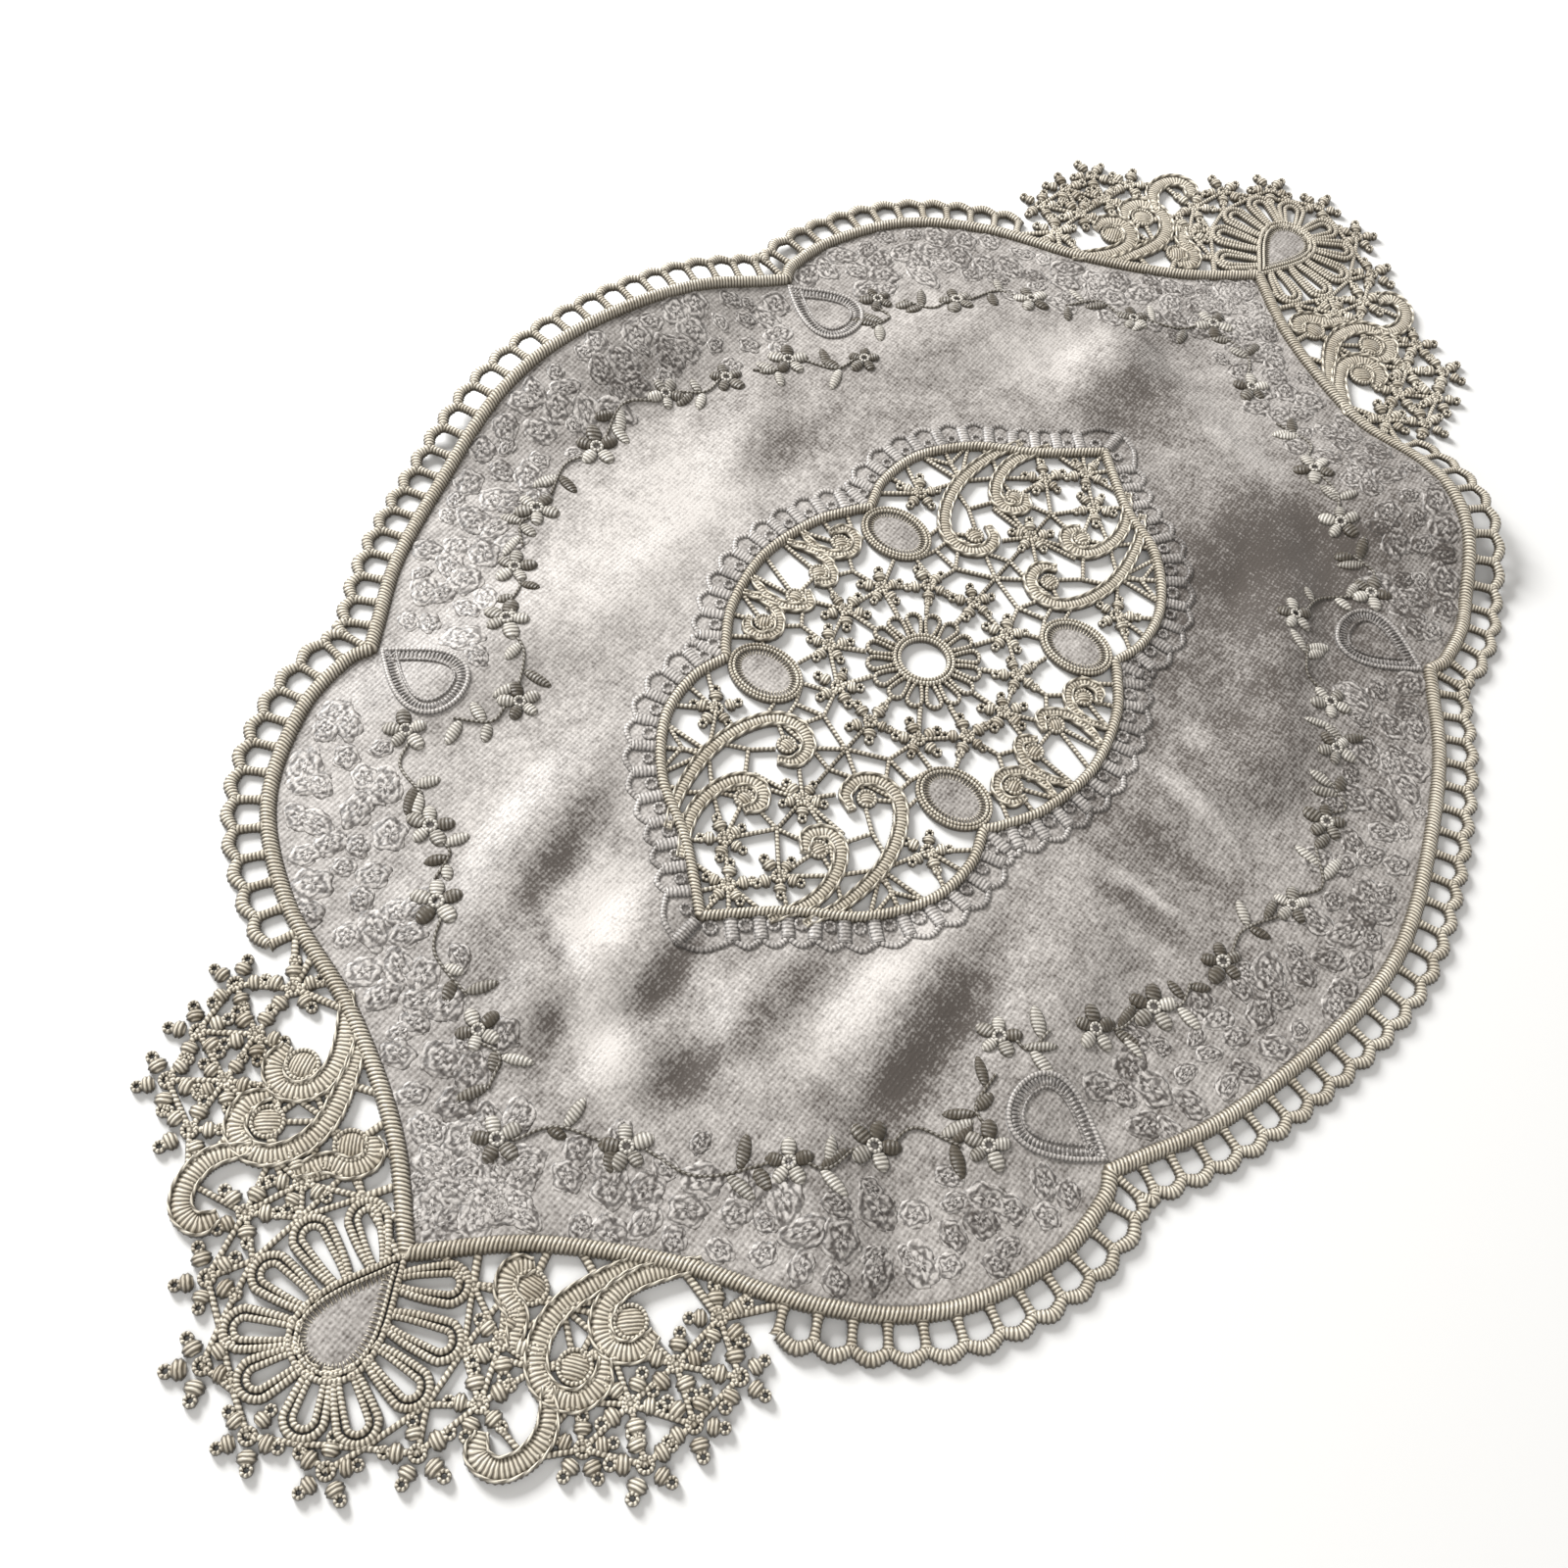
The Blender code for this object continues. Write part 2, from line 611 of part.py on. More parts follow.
def build_inlays(collection, satin):
    """The satin drops in the two fans and the four satin ovals in the middle lace."""
    outlines = {"satin_drop_right": drop(0.0), "satin_drop_left": mirrored(drop(0.0), -1, 1)}
    for flip_x, flip_y in QUADRANTS:
        name = "satin_oval_" + SIDE_NAMES[flip_x] + "_" + ROW_NAMES[flip_y]
        outlines[name] = satin_oval(flip_x, flip_y, 0.0)
    for name, outline in outlines.items():
        mesh = joined_fields([outline])
        thicken(mesh, SATIN_THICKNESS)
        add_piece(name, mesh, satin, collection)


def main():
    clear_scene()
    collection = bpy.data.collections.new(COLLECTION_NAME)
    bpy.context.scene.collection.children.link(collection)
    satin = make_material("satin", SATIN_FINISH)
    lace = make_material("lace_thread", LACE_FINISH)
    cord = make_material("cord_thread", CORD_FINISH)

    half = lobed_half(END_LOBE, NOTCH, SIDE_LOBE, LADDER_PITCH)
    outline = closed_from_half(half)
    opening = closed_from_half(lobed_half(OPENING_END_LOBE, OPENING_NOTCH, OPENING_SIDE_LOBE,
                                          OPENING_STEP))
    build_field(collection, satin, outline, opening)
    build_cord("edge_cord", collection, cord, outline)
    build_cord("middle_cord", collection, cord, opening)
    build_border(collection, lace, half)
    build_middle_lace(collection, lace, opening)
    build_inlays(collection, satin)


main()
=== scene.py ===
"""The looks of a lace placemat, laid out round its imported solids.

Every motif is drawn on the flat pattern in millimetres, as columns x, y and rise above the
cloth's underside. laid() then carries it over the soft folds of the cloth into metres.
"""
import math
from collections import namedtuple

import bpy
import numpy as np
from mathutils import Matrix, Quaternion, Vector


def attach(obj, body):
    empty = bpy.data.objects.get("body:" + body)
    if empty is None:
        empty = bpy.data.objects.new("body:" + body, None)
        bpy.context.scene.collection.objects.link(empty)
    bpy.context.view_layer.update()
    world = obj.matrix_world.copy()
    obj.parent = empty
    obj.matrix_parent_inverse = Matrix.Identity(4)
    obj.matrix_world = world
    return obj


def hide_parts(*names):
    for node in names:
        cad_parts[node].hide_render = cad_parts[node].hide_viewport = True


bl_info = {
    "name": "Lace Placemat",
    "version": (1, 0, 0),
    "blender": (4, 5, 0),
    "location": "View3D > Sidebar > Placemat",
    "description": "Builds a satin and lace placemat round its packed solids",
    "category": "Add Mesh",
}

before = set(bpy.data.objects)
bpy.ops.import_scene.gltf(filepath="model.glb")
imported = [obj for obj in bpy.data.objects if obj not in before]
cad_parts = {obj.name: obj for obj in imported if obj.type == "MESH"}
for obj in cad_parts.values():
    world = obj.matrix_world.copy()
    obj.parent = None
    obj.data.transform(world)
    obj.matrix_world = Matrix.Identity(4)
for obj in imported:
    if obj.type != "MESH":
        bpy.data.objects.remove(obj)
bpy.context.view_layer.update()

MM = 0.001
SEED = 11

# The outlines of cloth and opening: a pointed end lobe, the notch, half of a side lobe
NOTCH = (81.9, 99.4)
CLOTH_LOBES = ([(180, 0), (163.8, 18), (150.3, 41.9), (140.4, 68.4), (125.5, 88.2),
                (104.6, 99.2), (88.5, 101.3)], NOTCH,
               [(75.6, 103), (60.3, 111.6), (41.4, 118.4), (18, 124.6), (0, 126.6)])
OPENING_LOBES = ([(88.5, 0), (75.5, 14), (66.2, 27.5), (53.5, 36.6), (40.5, 38.8)],
                 (30.5, 36.3), [(26.5, 39.3), (16.5, 44.6), (0, 47.6)])

# Embroidered flowers of a quadrant, from the tip to the middle of the side
SPRAYS = [(153, 0), (137, 19), (122, 45), (109, 60), (93, 77), (72, 66),
          (57, 82), (43, 90), (25, 98), (0, 101.5)]

# Soft folds of the cloth, each an oval swelling that runs along its turn, in degrees
Fold = namedtuple("Fold", "x y turn half_length half_width height")
FOLDS = [Fold(*row) for row in (
    (-118, 20, 100, 42, 20, 2.6), (-112, -38, 60, 46, 17, 3), (-62, -72, 12, 56, 19, 3.2),
    (22, -76, 155, 44, 17, 2.4), (62, -66, 24, 50, 14, 2.8), (112, -12, 70, 52, 18, 2.6),
    (96, 52, -30, 46, 18, 2.8), (-64, 78, -12, 52, 18, 2.4), (34, 124, 172, 78, 34, 9),
    (134, -82, 118, 58, 32, 7.5), (-128, -60, 30, 34, 16, 1.8),
)]

# Fine creases of the satin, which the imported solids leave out
CREASES = [Fold(*row) for row in (
    (-78, -46, -4, 42, 15, 2.7), (-103, 6, 6, 21, 13, 2.4), (-92, 40, 5, 36, 12, 2),
    (-130, 15, 12, 15, 9, 1.4), (-122, -10, -14, 19, 10, 1.8), (-98, -22, -4, 30, 9, 0.9),
    (-115, 8, 66, 18, 6, 1.2), (-23, -72, 88, 19, 3, 0.6), (8, -70, 77, 24, 4, 0.7),
    (24, -72, 80, 22, 5, 0.7), (84, -38, -22, 36, 19, 2.3), (114, 14, 0, 30, 15, 2.2),
    (112, -34, 86, 30, 5, 0.6), (30, 74, 20, 34, 12, 1.2), (-30, 64, 6, 40, 11, 1),
)]

# Painted sheen of the satin: oval patches of painted highlight, positive, or painted shade,
# negative, added to its tone
SHEEN = [Fold(*row) for row in (
    (-102, 17, 8, 20, 12, 0.55), (-124, -3, 58, 24, 10, 0.5), (-80, -39, -4, 40, 8, 0.5),
    (-98, 51, 4, 36, 10, 0.22), (-22, 74, 4, 52, 26, 0.34), (12, 76, 60, 34, 20, 0.22),
    (109, 28, -30, 30, 17, 0.44), (-20.5, -73, 88, 18, 2.6, 0.35), (6.5, -72, 77, 26, 4, 0.35),
    (24, -62, 80, 22, 7, 0.18), (112, -30, 86, 32, 7, 0.22), (-97, 32, 6, 30, 7, -0.48),
    (-114, 20, 62, 13, 4, -0.35), (-129, 8, 8, 15, 6, -0.45), (-104, -3, 5, 19, 7, -0.6),
    (-121, -19, -12, 16, 7, -0.6), (-95, -25, -3, 28, 7, -0.35), (-80, -55, 1, 38, 11, -0.55),
    (-96, -54, 0, 14, 8, -0.25), (-26, -72, 88, 20, 4, -0.3), (-8, -72, 85, 26, 8, -0.28),
    (33, 65, -10, 24, 11, -0.3), (112, 5, 8, 42, 22, -0.36), (86, -50, -24, 58, 32, -0.3),
    (70, -66, -10, 120, 70, -0.34), (-40, 64, 10, 120, 60, 0.12),
)]

# Levels above the table and sizes of the cloth
SATIN_UNDER = 0.2
SATIN_TOP = 1.0
CLOTH_STEPS = (68, 136)
CLOTH_ACROSS = 48
WEAVE_SCALE = 314.0
INLAY_TOP = 1.1
INLAY_CROWN = 0.3
INLAY_LAP = 0.4

# The ladder along the long sides
LADDER_PITCH = 6.6
LADDER_END_Y = 60.0
LADDER_START = 1.2
LADDER_EDGE = 7.0
SCALLOP_RISE = 1.6

# Flowers, scrolls, discs and loops of one half of an end fan
FAN_FLOWERS = [(153.8, 53.8), (165.5, 52.5), (160.2, 63.3), (176.2, 50.2), (172, 61.6),
               (187.4, 48.2), (182.8, 58.8), (182, 24.5), (192.6, 28.6), (205.5, 25.4),
               (217.2, 14.8)]
FAN_TIP_FLOWER = (221, 0)
FAN_SCROLLS = [
    [(153, 36), (162, 31.8), (170, 29.2), (176.5, 29.6), (181.6, 32.6), (183.6, 37),
     (181.8, 42), (176.8, 43.6), (172.6, 41.4)],
    [(147.5, 45), (157, 37.4), (163.6, 35.4), (168.6, 37), (170.6, 41.2), (168.2, 45.2),
     (163.4, 46)],
    [(182.8, 36.4), (188.8, 41), (194.8, 41.2), (199.2, 38.4), (199.6, 34), (196, 32)],
    [(181.5, 27), (176.4, 23.6), (174.6, 19.4), (170.6, 17.4), (167.2, 20.2)],
]
FAN_CURLS = [(177.2, 38), (164.6, 41), (171, 22.4)]
LOOPS = [((184.9, 2.6), (177, 13.6)), ((191.4, 5.4), (187, 20)),
         ((197.4, 6.6), (198.2, 21.2)), ((202.6, 5), (210.4, 17.4)),
         ((204.6, 1.9), (217, 7.4))]
DROP_START = 183.0
DROP_LENGTH = 23.0
DROP_HALF_WIDTH = 7.4

# The middle lace: table rows are of one quadrant
WHEEL_RINGS = (6, 7.1)
WHEEL_LOOPS = 16
WHEEL_REACH = 14.4
WHEEL_LOOP_WIDTH = 4.7
RING_RADIUS = 22.9
RING_FLOWERS = 12
OVAL_CENTRE = (28, 26.6)
OVAL_HALF_WIDTH = 6.2
OVAL_HALF_HEIGHT = 8.0
OPENING_FLOWERS = [(43.4, 29.4), (69.8, 7.4)]
OPENING_AXIS_FLOWERS = [(50.4, 0), (78.6, 0)]
OPENING_SCROLLS = [
    [(76, 18.6), (66, 22.4), (54, 23.8), (43.8, 21.8), (36.8, 17.2), (35.2, 11.4),
     (38.2, 7), (43.2, 6.8), (45.8, 10.4)],
    [(80, 12), (70, 16.6), (61.8, 16.8), (55.6, 14), (54, 9.4), (57.4, 6.4),
     (61.4, 8.4)],
    [(12.4, 44.6), (10.8, 39.4), (12, 34.4), (16, 31.6), (20, 33.4), (20.4, 37.4),
     (17, 39.4)],
    [(7.4, 45.6), (9.4, 39.6), (8.8, 34), (5, 30.2), (1.6, 33.2)],
]
OPENING_CURLS = [(41, 11.2), (58.8, 10.2), (4.9, 34.4), (16.2, 35.6)]
OPENING_NET = [
    ((22.9, 0), (33, 0)), ((33, 0), (38, 6.4)), ((19.8, 11.5), (28.8, 9.2)),
    ((28.8, 9.2), (33, 0)), ((28.8, 9.2), (35.6, 12.6)), ((21.5, 10.4), (24.6, 18.4)),
    ((11.5, 19.8), (20.4, 22.4)), ((11.5, 19.8), (11, 28.2)), ((11, 28.2), (5.6, 31.6)),
    ((11, 28.2), (14.4, 32)), ((33.8, 20), (38.8, 19.4)), ((47.6, 17.2), (43.4, 12.6)),
    ((47.6, 17.2), (50.6, 23.4)), ((47.6, 17.2), (54.8, 13)), ((60.4, 0), (50.4, 0)),
    ((60.4, 0), (69.8, 7.4)), ((60.4, 0), (58.8, 7.4)), ((57, 29), (55.6, 23.8)),
    ((57, 29), (54, 36)), ((57, 29), (65, 29)), ((66, 22.4), (67.6, 26.4)),
    ((8.2, 36.6), (12.6, 37.4)), ((33, 0), (40, 0)), ((40, 0), (44.6, 0)),
    ((40, 0), (38, 6.4)), ((28.8, 9.2), (30.4, 16.2)), ((24.6, 18.4), (30.4, 16.2)),
    ((30.4, 16.2), (36.4, 15.4)), ((44.6, 5), (50.4, 0)), ((52, 12.4), (50.4, 0)),
]
QUADRANTS = [(1, 1), (1, -1), (-1, 1), (-1, -1)]

# Motif sizes
PETALS = 5
FLOWER_REACH = 7.4
OPENING_FLOWER_REACH = 6.3
PETAL_SHARE = 0.66
PETAL_WIDTH = 3.7
OPENING_PETAL_WIDTH = 3.2
PETAL_HEIGHT = 2.2
EYELET_SHARE = 0.25
EYE_RADIUS = 1.35
FAN_BAND_WIDTH = 4.6
OPENING_BAND_WIDTHS = (3.5, 3.5, 2.6, 2.6)
CURL_RADIUS = 3.0
OPENING_CURL_RADIUS = 1.86
DISC_PITCH = 0.75
LOOP_WIDTH = 9.0
FAN_RIM_WIDTH = 1.4
OVAL_RIM_WIDTH = 1.0
BRIDE_REACH = 17.0
NEIGHBOUR_REACH = 14.2
OPENING_NEIGHBOUR_REACH = 12.6
OPENING_FOOT_STEP = 6.5
SHELL_PITCH = 6.2
SHELL_DEPTH = 8.6
NOTCH_DROP_LENGTH = 22.5
NOTCH_DROP_WIDTH = 11.4

# The roses of the edge band: how far in each row runs, and the gap between its roses
ROSE_ROWS = ((6.0, 7.6), (12.2, 7.8), (18.6, 8.6), (23.6, 17.0))
ROSE_KINDS = 8
ROSE_RADIUS = 4.4
ROSE_PITCH = 1.6

# Colours of the garland, and of the painted shadow deep between the stitches and down their flanks
SPRAY_LIGHT = (0.68, 0.645, 0.58)
SPRAY_DARK = (0.09, 0.075, 0.055)
THREAD_SHADOW = (0.05, 0.037, 0.02)
SATIN_SHADOW = (0.045, 0.038, 0.034)

# The camera, the room, and the name, place, size and share of the power of each light
CAMERA_PLACE = (-0.24184, -0.07997, 0.33037)
CAMERA_TARGET = (-0.04929, 0.00584, 0.0)
CAMERA_ROLL = 13.66
CAMERA_LENS = 39.88
SENSOR_WIDTH = 36.0
ROOM_COLOUR = (1, 0.975, 0.94, 1)
ROOM_STRENGTH = 0.42
FLOOR_COLOUR = (0.86, 0.86, 0.85, 1)
LIGHTS = (("window", (0.2, 0.95, 0.6), 0.4, 1.0), ("bounce", (-0.8, -0.3, 0.7), 0.9, 0.18))


def fold_sum(folds, x, y):
    """Sum of oval swellings, height * (1 - r^2)^2 with r^2 = (along / a)^2 + (across / b)^2."""
    total = np.zeros_like(x)
    for fold in folds:
        turn = math.radians(fold.turn)
        along = (x - fold.x) * math.cos(turn) + (y - fold.y) * math.sin(turn)
        across = (y - fold.y) * math.cos(turn) - (x - fold.x) * math.sin(turn)
        reach = (along / fold.half_length) ** 2 + (across / fold.half_width) ** 2
        total += fold.height * np.clip(1.0 - reach, 0.0, None) ** 2
    return total


def laid(verts):
    """World places, in metres, of pattern points x, y, rise: the rise is added to the folds."""
    x, y, rise = verts.T
    height = fold_sum(FOLDS, x, y) + fold_sum(CREASES, x, y)
    return np.column_stack([x, y, height + rise]) * MM


class Shape:
    """Part of a mesh: points on the pattern, face corners, face sizes, UVs and thread tone, which
    on some pieces also holds painted highlight and painted shade.
    """

    def __init__(self, verts, corners, sizes, uv, tone):
        self.verts, self.corners, self.sizes, self.uv = verts, corners, sizes, uv
        self.tone = np.broadcast_to(np.asarray(tone, float), len(verts)).copy()


def merged(shapes):
    """One shape of many, their corner numbers moved up past the points before them."""
    starts = np.cumsum([0] + [len(s.verts) for s in shapes[:-1]])
    return Shape(np.concatenate([s.verts for s in shapes]),
                 np.concatenate([s.corners + k for s, k in zip(shapes, starts)]),
                 np.concatenate([s.sizes for s in shapes]),
                 np.concatenate([s.uv for s in shapes]),
                 np.concatenate([s.tone for s in shapes]))


def scattered(shape, places, turns, scales=1.0, tones=0.0):
    """Copies of a shape: each is scaled, turned about its origin and moved to its place."""
    places = np.asarray(places, float).reshape(-1, 2)
    count = len(places)
    turns = np.broadcast_to(turns, count)
    scales = np.broadcast_to(scales, count)
    cos, sin = np.cos(turns) * scales, np.sin(turns) * scales
    x, y, rise = shape.verts.T
    verts = np.stack([np.outer(cos, x) - np.outer(sin, y) + places[:, :1],
                      np.outer(sin, x) + np.outer(cos, y) + places[:, 1:],
                      np.outer(np.ones(count), rise)], axis=-1)
    offsets = np.arange(count)[:, None] * len(shape.verts)
    tone = shape.tone[None] + np.broadcast_to(tones, count)[:, None]
    return Shape(verts.reshape(-1, 3), (shape.corners[None] + offsets).ravel(),
                 np.tile(shape.sizes, count), np.tile(shape.uv, (count, 1)), tone.ravel())


def grid_corners(rows, columns, wrap_rows, wrap_columns):
    """Corners of the quads of a grid, row by row, each (i, k), (i+1, k), (i+1, k+1), (i, k+1)."""
    i, k = np.meshgrid(np.arange(rows if wrap_rows else rows - 1),
                       np.arange(columns if wrap_columns else columns - 1), indexing="ij")
    after_i, after_k = (i + 1) % rows, (k + 1) % columns
    return np.stack([i * columns + k, after_i * columns + k,
                     after_i * columns + after_k, i * columns + after_k], axis=-1).reshape(-1, 4)


def even_turns(count, shift=0.0):
    """Angles in even steps round a circle, the first of them `shift` steps on."""
    return math.tau * (np.arange(count) + shift) / count


def round_points(turn):
    """Points of the unit circle at these angles."""
    return np.column_stack([np.cos(turn), np.sin(turn)])


def right_of(steps):
    """Steps turned a quarter to their right."""
    return np.column_stack([steps[:, 1], -steps[:, 0]])


def distances(path):
    """Distance of each point of a path from its start, along the path."""
    return np.concatenate([[0], np.cumsum(np.linalg.norm(np.diff(path, axis=0), axis=1))])


def points_at(path, marks):
    """Points of a path at these distances from its start."""
    along = distances(path)
    return np.column_stack([np.interp(marks, along, path[:, k]) for k in (0, 1)])


def tangents(path, closed=False):
    """Unit directions along a path, from the points before and after each."""
    if closed:
        step = np.roll(path, -1, axis=0) - np.roll(path, 1, axis=0)
    else:
        step = np.gradient(path, axis=0)
    return step / np.maximum(np.linalg.norm(step, axis=1, keepdims=True), 1e-9)


def thread(path, width, height, base=0.0, pitch=0.85, relief=0.07, slant=0.9, sides=8,
           closed=False, tone=0.0, samples=2):
    """A stitched thread: an oval section carried along a path, with `samples` to each stitch.

    At the angle a of the section a point lies width / 2 * cos(a) to the side of the path, 0.88
    of that in the upper half and 1.14 in the lower, and base + height / 2 * (1 + sin(a)) above
    the cloth. Each stitch swells it by relief * cos(2 pi * distance / pitch + slant * cos(a)).
    The UV's u is that phase, and its v is a, both in turns, so that v = 0.25 is the top.
    """
    path = np.asarray(path, float)
    whole = np.vstack([path, path[:1]]) if closed else path
    marks = distances(whole)
    stitches = max(1, round(marks[-1] / pitch))
    count = stitches * samples + (0 if closed else 1)
    distance = np.arange(count) * marks[-1] / (stitches * samples)
    width, height, base = [
        np.interp(distance, marks[:len(path)], np.broadcast_to(size, len(path)))[:, None]
        for size in (width, height, base)]
    path = points_at(whole, distance)
    side = right_of(tangents(path, closed))
    angle = even_turns(sides, 0.5)
    lean = slant * np.cos(angle) / math.tau
    phase = np.arange(count)[:, None] / samples + lean
    swell = 1.0 + relief * np.cos(math.tau * phase)
    flare = np.where(np.sin(angle) > 0, 0.88, 1.14)
    across = width / 2 * np.cos(angle) * flare * swell
    upper = np.where(np.sin(angle) > 0, np.sin(angle) * swell, np.sin(angle))
    rise = base + height / 2 * (1.0 + upper)
    flat = path[:, None] + side[:, None] * across[..., None]
    verts = np.concatenate([flat, rise[..., None]], axis=-1).reshape(-1, 3)
    quads = grid_corners(count, sides, closed, True)
    start = np.arange(len(quads) // sides)[:, None] / samples
    end = start + 1 / samples
    after = np.roll(lean, -1)
    u = np.stack([start + lean, end + lean, end + after, start + after], axis=-1)
    column = np.arange(sides)
    v = (np.stack([column, column, column + 1, column + 1], axis=-1) + 0.5) / sides
    corners, sizes = quads.ravel(), np.full(len(quads), 4)
    uv = np.stack([u, np.broadcast_to(v, u.shape)], axis=-1).reshape(-1, 2)
    if not closed:
        corners = np.concatenate([corners, column, (count - 1) * sides + column[::-1]])
        sizes = np.append(sizes, [sides, sides])
        # The caps take v = 0.08, low on the flank, so they take the flank's painted shade
        uv = np.vstack([uv, np.tile((0.25, 0.08), (2 * sides, 1))])
    return Shape(verts, corners, sizes, uv, tone)


def curve(points, step):
    """A Catmull-Rom curve through the points, cut into even steps."""
    points = np.asarray(points, float)
    padded = np.vstack([2 * points[0] - points[1], points, 2 * points[-1] - points[-2]])
    a, b, c, d = (padded[k:len(padded) - 3 + k, None] for k in range(4))
    t = np.linspace(0, 1, 16, endpoint=False)[None, :, None]
    dense = 0.5 * (2 * b + (c - a) * t + (2 * a - 5 * b + 4 * c - d) * t ** 2
                   + (3 * b - a - 3 * c + d) * t ** 3)
    return evened(np.vstack([dense.reshape(-1, 2), points[-1:]]), step)


def evened(path, step):
    """A path cut into even steps."""
    length = distances(path)[-1]
    return points_at(path, np.linspace(0, length, max(2, round(length / step)) + 1))


def evened_loop(outline, step):
    """A closed outline cut into even steps."""
    return evened(np.vstack([outline, outline[:1]]), step)[:-1]


def lobed_outline(lobes, step=None, counts=None):
    """A whole lobed outline from its quadrant, counter-clockwise, sharp at tips and notches.

    It is cut into even steps, or into the counts given for an end lobe and a side lobe.
    """
    end_lobe, notch, side_lobe = lobes
    side_points = [notch, *side_lobe, *[(-x, y) for x, y in side_lobe[-2::-1]],
                   (-notch[0], notch[1])]
    curves = [curve([*end_lobe, notch], 0.5), curve(side_points, 0.5)]
    lengths = [distances(path)[-1] for path in curves]
    counts = counts or [round(length / step) for length in lengths]
    end, side = [evened(path, length / n) for path, length, n in zip(curves, lengths, counts)]
    half = np.vstack([end[:-1], side[:-1], (end * (-1, 1))[::-1]])
    return np.vstack([half[:-1], -half[:-1]])


def moved_out(path, distance, closed=True):
    """The path moved to its right, outwards where it runs counter-clockwise, mitred."""
    if closed:
        before, after = path - np.roll(path, 1, axis=0), np.roll(path, -1, axis=0) - path
    else:
        steps = np.diff(path, axis=0)
        before, after = np.vstack([steps[:1], steps]), np.vstack([steps, steps[-1:]])
    sides = [right_of(s) / np.linalg.norm(s, axis=1)[:, None] for s in (before, after)]
    middle = sides[0] + sides[1]
    middle /= np.linalg.norm(middle, axis=1)[:, None]
    cosine = np.maximum((middle * sides[0]).sum(axis=1), 0.6)
    return path + middle * (distance / cosine)[:, None]


def flipped(points, flip_x, flip_y):
    """Points in another quadrant, for flips of 1 or -1."""
    return np.asarray(points, float).reshape(-1, 2) * (flip_x, flip_y)


def bead(length, width, height, base=0.0, pitch=0.85, relief=0.07, slant=1.0, sides=8,
         start=0.0, tone=0.0, blunt=0.36, samples=2):
    """A satin-stitched bead along +X from `start`: a thread whose section grows as a half oval.

    The width at the share t of the length is width * (4 t (1 - t)) ^ blunt.
    """
    t = (1 - np.cos(np.linspace(0.18, math.pi - 0.18, 15))) / 2
    swelling = (4 * t * (1 - t)) ** blunt
    path = np.column_stack([start + t * length, np.zeros(len(t))])
    lift = base + height * (1 - swelling) * 0.25
    return thread(path, width * swelling, height * swelling, lift, pitch, relief, slant, sides,
                  tone=tone, samples=samples)


def ring(radius, width, height, base=0.0, sides=6, tone=0.0):
    """A stitched ring round the origin."""
    return thread(radius * round_points(even_turns(40)), width, height, base, 0.8, sides=sides,
                  closed=True, tone=tone)


def petal(reach, length, width):
    """A barrel petal with an eyelet at its outer end."""
    radius = width * EYELET_SHARE
    barrel = bead(length - 2.4 * radius, width, PETAL_HEIGHT, 0.0, 0.8, 0.07, 0.5, 8,
                  start=reach - length, blunt=0.2)
    eyelet = ring(radius, radius * 0.95, PETAL_HEIGHT * 0.8, tone=0.1)
    return merged([barrel, scattered(eyelet, (reach - 1.45 * radius, 0.0), 0.0)])


def flower(reach, width, rng):
    """A lace flower: barrel petals of uneven length round a small open ring."""
    kind = petal(reach, reach * PETAL_SHARE, width)
    turns = even_turns(PETALS, rng.uniform(-0.08, 0.08, PETALS))
    return merged([ring(EYE_RADIUS, 1.0, 1.8, tone=0.1),
                   scattered(kind, np.zeros((PETALS, 2)), turns, rng.uniform(0.9, 1.06, PETALS),
                             rng.normal(0, 0.12, PETALS))])


def flowers_at(places, reach, width, rng):
    """Flowers of four different makes, each turned its own way."""
    kinds = [flower(reach, width, rng) for _ in range(4)]
    choice = rng.integers(0, len(kinds), len(places))
    places = np.asarray(places)
    return [scattered(kind, places[choice == k], rng.uniform(0, math.tau, (choice == k).sum()),
                      1.0, rng.normal(0, 0.06, (choice == k).sum()))
            for k, kind in enumerate(kinds) if (choice == k).any()]


def ring_shell(rings, steps):
    """Corners and sizes of faces that join rings of points, with a cap at both ends."""
    quads = grid_corners(rings, steps, False, True)[:, ::-1]
    caps = [np.arange(steps)[::-1], (rings - 1) * steps + np.arange(steps)]
    return (np.concatenate([quads.ravel(), *caps]),
            np.concatenate([np.full(len(quads), 4), [steps, steps]]))


def top_uv(u):
    """UVs whose v says that they lie on top of their stitches."""
    return np.column_stack([u, np.full(len(u), 0.25)])


def disc(radius, height, tone):
    """A domed disc of straight stitches, ridged along one direction.

    At the share r of its radius it rises height * (0.25 + 0.75 * sqrt(1 - r^2)).
    """
    rings, steps = 6, 22
    share = np.sin(np.linspace(math.pi / 2, 0.12, rings))[:, None]
    x, y = radius * share * round_points(even_turns(steps)).T[:, None]
    dome = height * (0.25 + 0.75 * np.sqrt(1 - (share * 0.98) ** 2))
    rise = dome * (1 + 0.03 * np.cos(math.tau * (x + 0.3 * y) / DISC_PITCH))
    upper = np.stack([x, y, rise], axis=-1)
    verts = np.concatenate([upper[:1] * (1, 1, 0), upper]).reshape(-1, 3)
    corners, sizes = ring_shell(rings + 1, steps)
    x, y = verts[corners][:, :2].T / DISC_PITCH
    return Shape(verts, corners, sizes, top_uv(x + 0.3 * y), tone)


def scroll_band(points, band):
    """A scroll: a cross-stitched band between two thin edge cords, narrow at its tail."""
    path = curve(points, 0.5)
    share = np.linspace(0, 1, len(path))
    width = band * (0.55 + 0.45 * np.sin(math.pi * np.clip(share * 1.3, 0, 0.5)))
    width = width * np.clip((1.08 - share) * 6, 0.6, 1)
    field = thread(path, width, 1.7, 0.0, 0.88, 0.06, 0.2, 8)
    side = right_of(tangents(path)) * (width / 2 - 0.25)[:, None]
    edges = [thread(path + offset, 0.8, 2.2, 0.0, 3.2, 0.02, 2.5, 5, tone=0.18, samples=6)
             for offset in (side, -side)]
    return [field, *edges]


